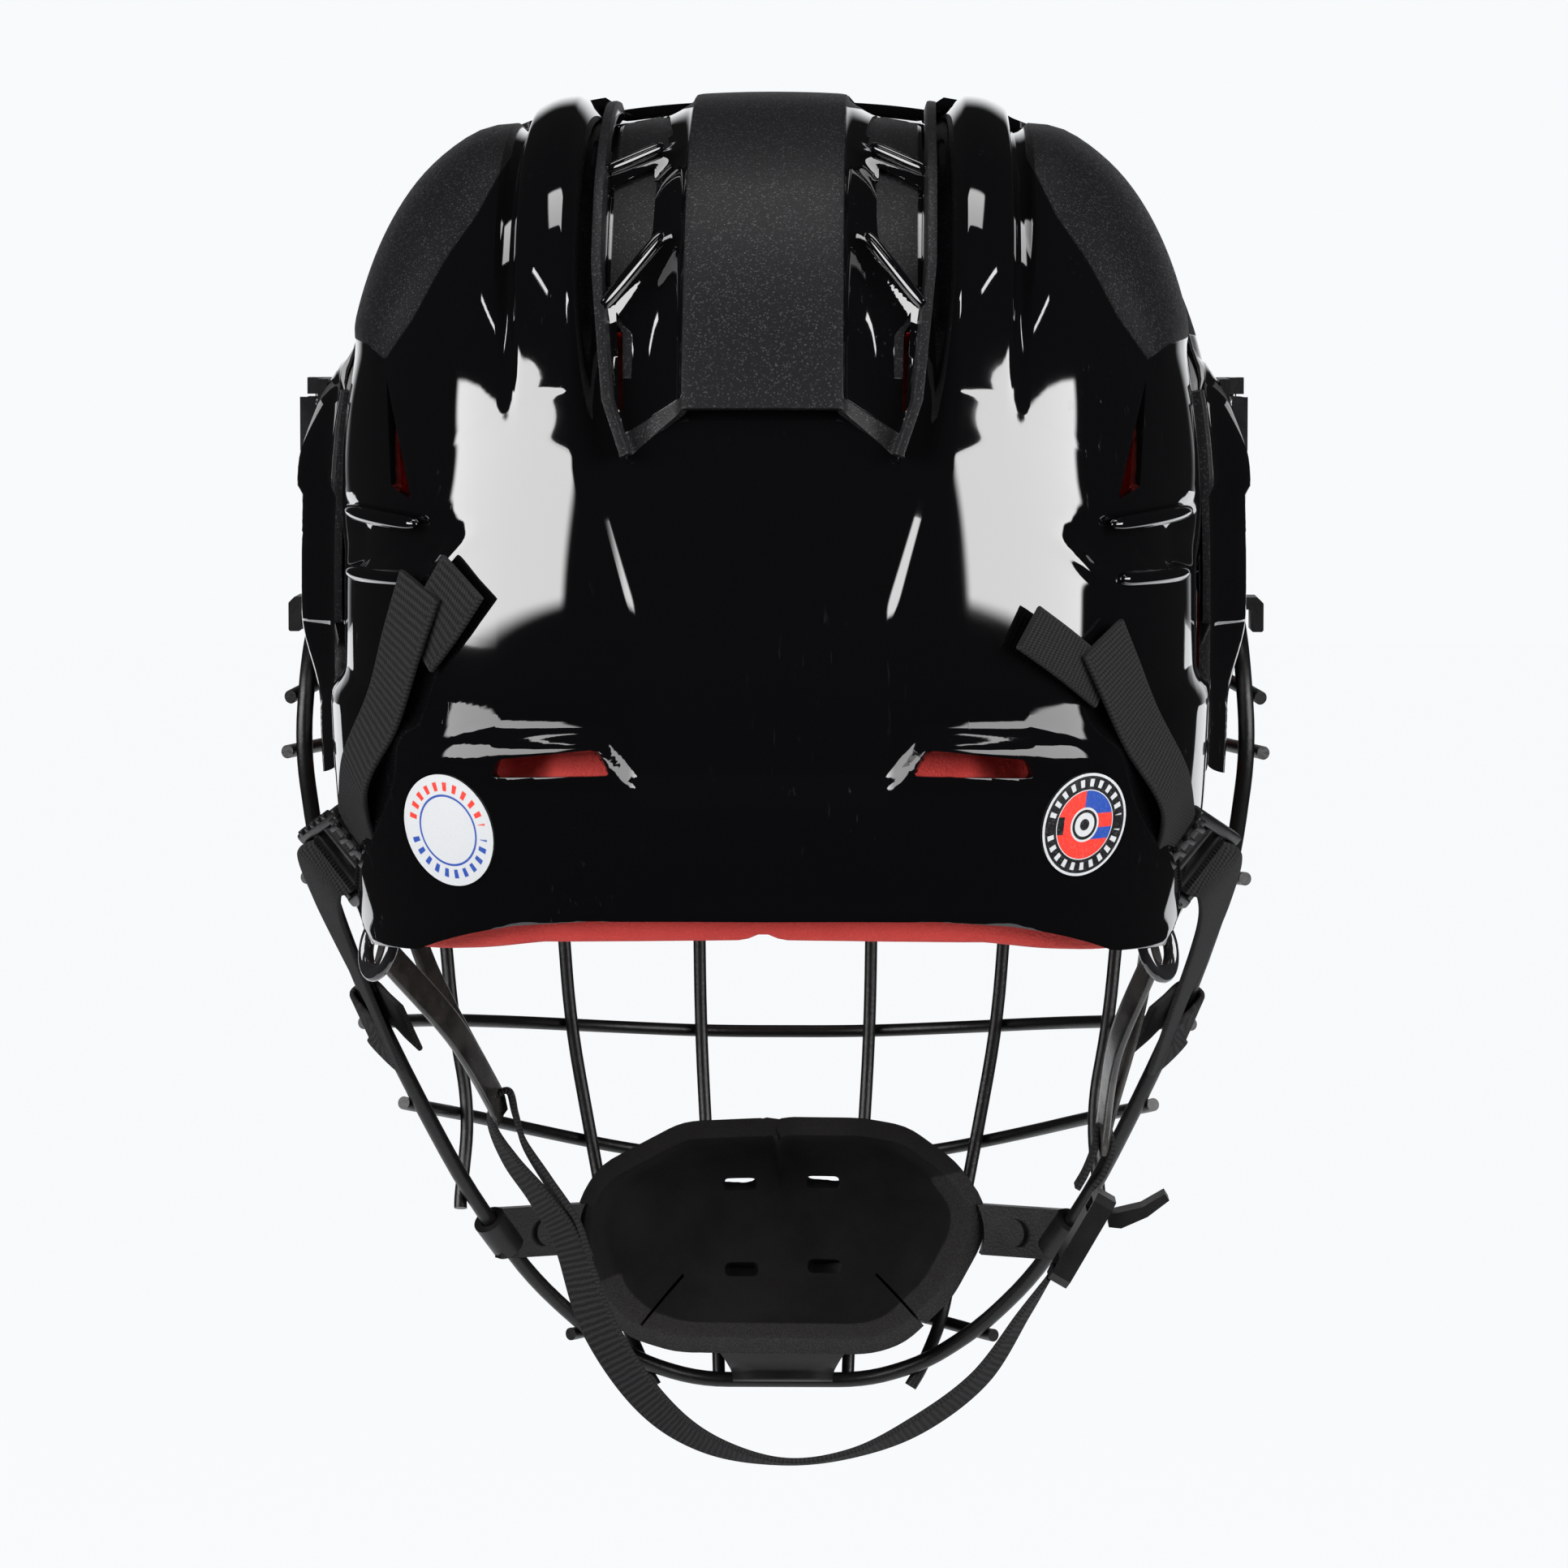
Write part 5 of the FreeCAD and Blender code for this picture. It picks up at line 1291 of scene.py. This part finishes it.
class HELMET_OT_straps(bpy.types.Operator):
    """Lays the straps and their tails, the ladder locks, the corner hooks and the ear loops"""

    bl_idname = "helmet.straps"
    bl_label = "Straps"

    def laid(self, side, spots, lifts):
        """Points on the rear shell, lifted off it, and the direction of a strap's width at each."""
        points = [on_shell(side, x, z, lift) for (x, z), lift in zip(spots, lifts)]
        ways = unit(np.gradient(np.array(points), axis=0))
        return points, [np.cross(way, REAR.normals(spot)) for way, spot in zip(ways, points)]

    def tails(self):
        """Each tail comes up out of its ladder lock and along the shell. Its end is folded back beside it."""
        thick = sizes().webbing / MM
        layouts = {
            "left": (
                [(87.6, 10), (83.6, 25), (79, 40), (74.6, 53.5)],
                [(76.5, 39.5), (71, 47), (65.2, 55.6)],
                [0.0, 0.4, 1.3],
                STRAP,
            ),
            "right": (
                [(87, 7), (82, 21), (77.4, 33), (73.6, 42)],
                [(75, 31), (66, 38.5), (57, 45)],
                [0.0, 1.2, 3.4],
                11,
            ),
        }
        for name, side in SIDES:
            main, end, lifts, wide = layouts[name]
            points, across = self.laid(side, main, [1.7] * len(main))
            centre, lock_across, up, out = ladder_frame(side)
            lock_across = lock_across * np.sign(lock_across @ across[0])
            points = [centre + up * 2, centre + up * 12 + out * 0.6, *points]
            across = [lock_across, lock_across, *across]
            first = band("strap_tail_main", points, across, STRAP, thick)
            second = band("strap_tail_end", *self.laid(side, end, lifts), wide, thick)
            obj = join([first, second], "helmet_strap_tail_" + name)
            weave = ("ribbed webbing", 1.0, 1.5) if side < 0 else ("fine webbing", 0.62)
            finish(obj, "rear_helmet", webbing_material(*weave), "webbing", "strap_tail_" + name)

    def cage_straps(self):
        """Each cage strap comes out of its ladder lock and laps round the cage's side wire."""
        thick = sizes().webbing / MM
        for name, side in SIDES:
            centre, across, up, out = ladder_frame(side)
            foot = centre - up * 6 + out * 1.6
            wire = np.array([side * 99.8, 39.3, -60.2])
            run = unit(np.array([side * 91.9, 52.4, -80.1]) - np.array([side * 104.9, 30.7, -45.4]))
            way = unit(wire - foot)
            outward = unit(np.cross(run, way))
            outward = outward if outward[0] * side > 0 else -outward
            toward = unit(np.cross(outward, run))
            toward = toward if toward @ way > 0 else -toward
            edge = run if across @ run > 0 else -run
            middle = foot * 0.62 + wire * 0.38 + np.array([side * 4.0, 0, 0])
            lap = [foot, foot - up * 10 + out * 0.9, middle]
            lap += [wire - toward * 14 + outward * 1.6, wire - toward * 4 + outward * 3.2]
            for angle in (55, 0, -55):
                a = math.radians(angle)
                lap.append(wire + toward * 3.6 * math.cos(a) + outward * 3.8 * math.sin(a))
            lap += [wire - toward * 6 - outward * 4.2, wire - toward * 13 - outward * 5.2]
            sides = [across, across, across * 0.5 + edge * 0.5] + [edge] * 7
            obj = band("helmet_cage_strap_" + name, lap, sides, STRAP, thick, 0.7)
            finish(obj, "cage", webbing_material("fine webbing", 0.62), "webbing", "cage_strap_" + name)

    def locks(self):
        """Each ladder lock has two rails, four bars and two rows of teeth."""
        for name, side in SIDES:
            centre, across, up, out = ladder_frame(side)
            axes = (across, up, out)
            rails = [centre + across * shift * 9.4 for shift in (-1, 1)]
            parts = [brick("rail", spot, axes, (2.8, 28, 3.4), 0.8) for spot in rails]
            for level, deep, high in ((11.4, 4.6, 0.6), (2.6, 2.6, -0.3), (-5.0, 2.6, -0.3), (-12.4, 3.2, 0)):
                parts.append(brick("bar", centre + up * level + out * high, axes, (18.5, deep, 3.0), 0.7))
            for index in range(5):
                spot = centre + up * 11.4 + out * 2.2 + across * (index - 2) * 3.5
                parts.append(brick("tooth", spot, axes, (1.5, 5.2, 1.3), 0.4))
                spot = centre - across * side * 10.6 + up * (index - 2) * 4.4 + out * 1.2
                parts.append(brick("tooth", spot, axes, (1.4, 2.0, 2.2), 0.4))
            obj = join(parts, "helmet_ladder_lock_" + name)
            finish(obj, "rear_helmet", moulded_material(), "moulded_black", "ladder_lock_" + name)

    def hooks(self):
        """Each corner hook is a ring on a foot, at the rear shell's lower corner."""
        for name, side in SIDES:
            centre = np.array([side * 90.4, -66.5, -32.5])
            axis = unit(np.array([side * 0.78, -0.62, 0.1]))
            deselect()
            radii = {"major_radius": 5.4, "minor_radius": 1.9}
            bpy.ops.mesh.primitive_torus_add(major_segments=48, minor_segments=20, **radii)
            ring = named("hook_ring")
            up = unit(np.array([-0.15 * side, 0, 1.0]) - axis * axis[2])
            turn = np.array([np.cross(up, axis), up, axis])
            set_points(ring, (centre + (points_of(ring) * (0.9, 1.18, 0.95)) @ turn) * MM)
            smooth(ring, 60)
            foot = brick("hook_foot", centre + (-side * 4.4, 0.6, 4.6), np.eye(3), (9, 9, 6.5), 1.4)
            obj = join([ring, foot], "helmet_corner_hook_" + name)
            finish(obj, "rear_helmet", trim_material(), "moulded_black", "corner_hook_" + name)

    def chin(self):
        """The chin strap hangs in one plane, from the left ear loop to the buckle, and twists on its way."""
        thick, plane = sizes().webbing / MM, -14.0
        weave = webbing_material("chin webbing", 0.9, 1.3)
        spots = [(-66.6, -74), (-67.6, -81), (-63, -90), (-56, -99), (-49, -110), (-42, -130), (-30, -148)]
        spots += [(-16, -158.5), (2, -163), (19, -161), (35, -154), (50, -142.5), (60.5, -127), (66.5, -118)]
        twist = [0, 10, 24, 34, 46, 58, 52, 34, 14, 16, 30, 28, 16, 6]
        line = np.array([(x, plane, z) for x, z in spots])
        ways = unit(np.gradient(line, axis=0))
        sides = []
        for way, turn in zip(ways, twist):
            flat = np.cross((0, 1, 0), way)
            angle = math.radians(turn)
            sides.append(np.array([0, 1, 0]) * math.cos(angle) + flat * math.sin(angle))
        main = band("chin_main", line, sides, CHIN_STRAP, thick)
        back = [(-66.6, -74), (-63.4, -73.2), (-61.8, -79), (-59.6, -86), (-54, -95), (-47.6, -105)]
        back = [(x, plane, z) for x, z in (*back, (-44.6, -113))]
        turned = band("chin_turned", back, [(0, 1, -0.12 * k) for k in range(7)], CHIN_STRAP, thick)
        obj = join([main, turned], "helmet_chin_strap")
        finish(obj, "rear_helmet", weave, "webbing", "chin_strap")
        up = [(76.6, -96), (79.6, -92), (81.6, -86), (80.4, -80.6)]
        down = [(78.2, -81), (77.6, -86), (75.4, -92), (73.2, -96)]
        line = [(x, plane, z) for x, z in up + down]
        link = band("helmet_chin_link", line, [(0, 1, 0)] * len(line), CHIN_LINK, thick, 0.6)
        finish(link, "rear_helmet", weave, "webbing", "chin_strap_link")

    def loops(self):
        """Each ear loop has two legs, from the corner hook and from the temple, that meet under the ear."""
        for name, side in SIDES:
            apex = np.array([-65.5, -15.0, -77.0]) if side < 0 else np.array([79.0, -15.0, -84.0])
            hook = np.array([side * 90.0, -66.0, -33.0])
            temple = np.array([side * 91.0, -42.0, -8.0])
            legs = []
            for spot, bow in ((hook, -3.0), (temple, 3.0)):
                middle = spot * 0.5 + apex * 0.5 + (side * bow, -2, 0)
                line = [spot, spot * 0.8 + middle * 0.2, middle, apex * 0.85 + middle * 0.15]
                line.append(apex + (0, 0, -2))
                across = unit(np.cross(apex - spot, (side, 0.25, 0.0)))
                legs.append(band("leg", line, [across] * len(line), EAR_LOOP, 1.7, 1.2))
            obj = join(legs, "helmet_ear_loop_" + name)
            finish(obj, "rear_helmet", loop_material(), "ear_loop", "ear_loop_" + name)

    def execute(self, context):
        for step in (self.tails, self.locks, self.hooks, self.cage_straps, self.chin, self.loops):
            step()
        return {"FINISHED"}


# ------------------------------------------------------------------ chin cup

CUP_OUTLINE = [(-49, -117.5), (-44.5, -110), (-24.5, -99.4), (-2.6, -98.4), (-1.4, -99.8), (0.0, -98.2)]
CUP_OUTLINE += [(20.5, -98.4), (31, -100.2), (42.5, -108.5), (49, -117.5), (48.6, -124.5), (41, -138.5)]
CUP_OUTLINE += [(30, -149), (23, -151.2), (-27.5, -150.8), (-38, -147.6), (-45, -141), (-49.4, -128)]
CUP_CENTRE = (0.0, -123.6)
# The upper two slots go through the moulded cup as well.
CUP_SLOTS = ((-11.2, -114.2), (10.4, -113.6), (-10.8, -136.4), (10.8, -135.6))
CUP_SLITS = (
    [(24.5, -136.5), (37.6, -147.2), (37.2, -147.8), (24.0, -137.0)],
    [(-26, -137), (-36.5, -147.6), (-36.0, -148.1), (-25.5, -137.6)],
)
CUP_FRONT = 90


def cup_radius(angle):
    """The cup's half width in each direction from its centre."""
    corners = np.array(rounded_outline(CUP_OUTLINE, 3.0, 3)) - CUP_CENTRE
    shares = np.linspace(0, 1, 12, endpoint=False)
    edges = zip(corners, np.roll(corners, -1, 0))
    outline = np.vstack([a * (1 - shares)[:, None] + b * shares[:, None] for a, b in edges])
    theta = np.arctan2(outline[:, 1], outline[:, 0])
    order = np.argsort(theta)
    theta, reach = theta[order], np.hypot(outline[:, 0], outline[:, 1])[order]
    theta = np.concatenate([theta - 2 * math.pi, theta, theta + 2 * math.pi])
    return np.interp(angle, theta, np.tile(reach, 3))


def cup_dish(name, grow, deep, edge_y):
    """A dish with the cup's outline: an open sheet that faces the wearer."""
    obj, u, v = grid(name, 144, 34)
    angle = u * 2 * math.pi
    radius = (cup_radius(angle) + grow) * v
    x, z = CUP_CENTRE[0] + radius * np.cos(angle), CUP_CENTRE[1] + radius * np.sin(angle)
    y = edge_y + deep * (1 - np.clip(v, 0, 1) ** 2.6)
    set_points(obj, np.stack([x, y, z], axis=1) * MM)
    merge(obj, 0.00001)
    return obj


class HELMET_OT_chin_cup(bpy.types.Operator):
    """Shapes the chin cup's foam and the moulded cup behind it"""

    bl_idname = "helmet.chin_cup"
    bl_label = "Chin cup"

    def execute(self, context):
        foam = sizes().foam
        slots = []
        for x, z in CUP_SLOTS:
            corners = [(x - 4.4, z - 1.7), (x + 4.4, z - 1.7), (x + 4.4, z + 1.7), (x - 4.4, z + 1.7)]
            slots.append((rounded_outline(corners, 1.6), CUP_FRONT, False))
        obj = cup_dish("helmet_cup_foam", 0.0, 25.0, 97.2)
        open_vents(obj, slots + [(slit, CUP_FRONT, False) for slit in CUP_SLITS])
        with editing(obj):
            bpy.ops.mesh.normals_make_consistent(inside=False)
        # The foam thickens forwards, towards the moulded cup, whichever way the sheet faces.
        middle = obj.data.polygons[len(obj.data.polygons) // 2]
        wall(obj, foam * 0.92, 0.0009, 1 if middle.normal.y > 0 else -1)
        p = points_of(obj) / MM
        dx, dz = p[:, 0] - CUP_CENTRE[0], p[:, 2] - CUP_CENTRE[1]
        share = np.hypot(dx, dz) / cup_radius(np.arctan2(dz, dx))
        # The sawn edge shows most along the lower half.
        turn = np.degrees(np.arctan2(dz, dx))
        lower = ease(30, 8, turn) * ease(-176, -150, turn)
        paint(obj, "cut_edge", ease(0.9, 0.915, share) * np.where(lower > 0.5, 1.0, 0.3))
        finish(obj, "cage", cup_material(), "cup_foam", "chin_cup_pad")
        smooth(obj, 45)
        shell = cup_dish("helmet_cup_shell", foam / MM * 0.3, 27.0, 102.4)
        open_vents(shell, slots[:2])
        wall(shell, 0.0022, 0.0005, 0)
        finish(shell, "cage", moulded_material(), "moulded_black", "chin_cup_shell")
        smooth(shell)
        return {"FINISHED"}


# ------------------------------------------------------------------ stickers


def disc_material(name, base, fields, rings, hubs, ticks):
    """A printed round label: fields of colour, rings, a hub and a ring of plain ticks.

    A field has its left, right, lower and upper edge and a colour, a ring its inner radius and a colour,
    and a hub its outer radius and a colour, in millimetres."""
    tick_count = 23

    def build(g):
        def above(value, edge, blur):
            return value.ramp(edge - blur, edge + blur)

        def below(value, edge, blur):
            return value.ramp(edge + blur, edge - blur)

        u, w = g.own_map()
        radius = (u * u + w * w).root()
        colour = base
        for left, right, low, high, tone in fields:
            inside = above(w, low, 0.06) * below(w, high, 0.06) * above(u, left, 0.06) * below(u, right, 0.06)
            colour = g.blend(inside, colour, tone)
        for start, tone in rings:
            colour = g.blend(above(radius, start, 0.07), colour, tone)
        for start, tone in hubs:
            colour = g.blend(below(radius, start, 0.07), colour, tone)
        low, high, upper, lower = ticks
        turn = u.math("ARCTAN2", u, w)
        mark = (turn * tick_count).wave().ramp(0.1, 0.4) * above(radius, low, 0.1) * below(radius, high, 0.1)
        mark = mark * abs(w).ramp(1.4, 1.8)
        colour = g.blend(mark, colour, g.blend(w.ramp(-0.1, 0.1), lower, upper))
        speck = g.noise(2200.0, 2.0)
        g.set(Base_Color=g.blend(speck.ramp(0.45, 0.8) * 0.16, colour, (0.35, 0.35, 0.36)))
        g.set(Roughness=0.26 + g.noise(900.0) * 0.1, Coat_Weight=0.25)
        g.set(Normal=g.bump(g.noise(420.0), 0.0001, 0.3))

    return made(name, build)


class HELMET_OT_labels(bpy.types.Operator):
    """Sticks the two round labels on the nape band"""

    bl_idname = "helmet.labels"
    bl_label = "Labels"

    def execute(self, context):
        white, blue = (0.52, 0.53, 0.54), (0.015, 0.06, 0.32)
        red, black = (0.66, 0.035, 0.022), (0.006, 0.006, 0.007)
        rings = [(7.6, blue), (8.1, white)]
        left = disc_material("white label", white, [], rings, [], (8.9, 10.9, red, blue))
        patches = [(-0.5, 8, 2.4, 8, blue), (1.8, 8, -3.4, -0.8, blue), (-8, -5.8, -2, 2, black)]
        rings = [(7.7, white), (7.9, black), (11.0, white)]
        hubs = [(3.9, white), (3.4, black), (2.7, white), (1.3, black)]
        right = disc_material("dark label", red, patches, rings, hubs, (8.6, 10.3, white, white))
        places = (("left", -68.4, -0.6, 12.6, left), ("right", 69.6, 0.8, 11.6, right))
        lift = sizes().ledge / MM + 0.3
        for name, x, z, radius, material in places:
            obj, u, v = grid("helmet_label_" + name, 64, 12)
            du, dv = radius * v * np.cos(u * 2 * math.pi), radius * v * np.sin(u * 2 * math.pi)
            centre = REAR.on_back(x, z)
            out = REAR.normals(centre)
            across = unit(np.cross((0, 0, 1), out))
            across = across if across[0] > 0 else -across
            up = unit(np.cross(across, out))
            up = up if up[2] > 0 else -up
            flat = centre + across * du[:, None] + up * dv[:, None]
            set_points(obj, np.array([REAR.on_back(spot[0], spot[2], lift) for spot in flat]) * MM)
            lay_uv(obj, np.stack([du, dv], axis=1))
            merge(obj, 0.00001)
            apply(obj, "SOLIDIFY", thickness=0.00015, offset=0)
            finish(obj, "rear_helmet", material, "gloss_trim")
            smooth(obj)
        return {"FINISHED"}


class HELMET_PT_panel(bpy.types.Panel):
    """The helmet's sizes and colours, and a button for every step"""

    bl_label = "Helmet"
    bl_idname = "HELMET_PT_panel"
    bl_space_type = "VIEW_3D"
    bl_region_type = "UI"
    bl_category = "Helmet"

    def draw(self, context):
        for group in (context.scene.helmet_sizes, context.scene.helmet_colours):
            for key in group.__annotations__:
                self.layout.prop(group, key)
        for step in STEPS:
            self.layout.operator(step.bl_idname)


STEPS = (
    HELMET_OT_stage,
    HELMET_OT_hardware,
    HELMET_OT_rear_shell,
    HELMET_OT_crown_panel,
    HELMET_OT_front_shell,
    HELMET_OT_liner,
    HELMET_OT_straps,
    HELMET_OT_chin_cup,
    HELMET_OT_labels,
)
CLASSES = (HelmetSizes, HelmetColours, *STEPS, HELMET_PT_panel)


def register():
    for item in CLASSES:
        bpy.utils.register_class(item)
    bpy.types.Scene.helmet_sizes = PointerProperty(type=HelmetSizes)
    bpy.types.Scene.helmet_colours = PointerProperty(type=HelmetColours)


def unregister():
    del bpy.types.Scene.helmet_sizes
    del bpy.types.Scene.helmet_colours
    for item in reversed(CLASSES):
        bpy.utils.unregister_class(item)


def main():
    register()
    for step in STEPS:
        group, name = step.bl_idname.split(".")
        getattr(getattr(bpy.ops, group), name)()
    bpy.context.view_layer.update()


if __name__ == "__main__":
    main()
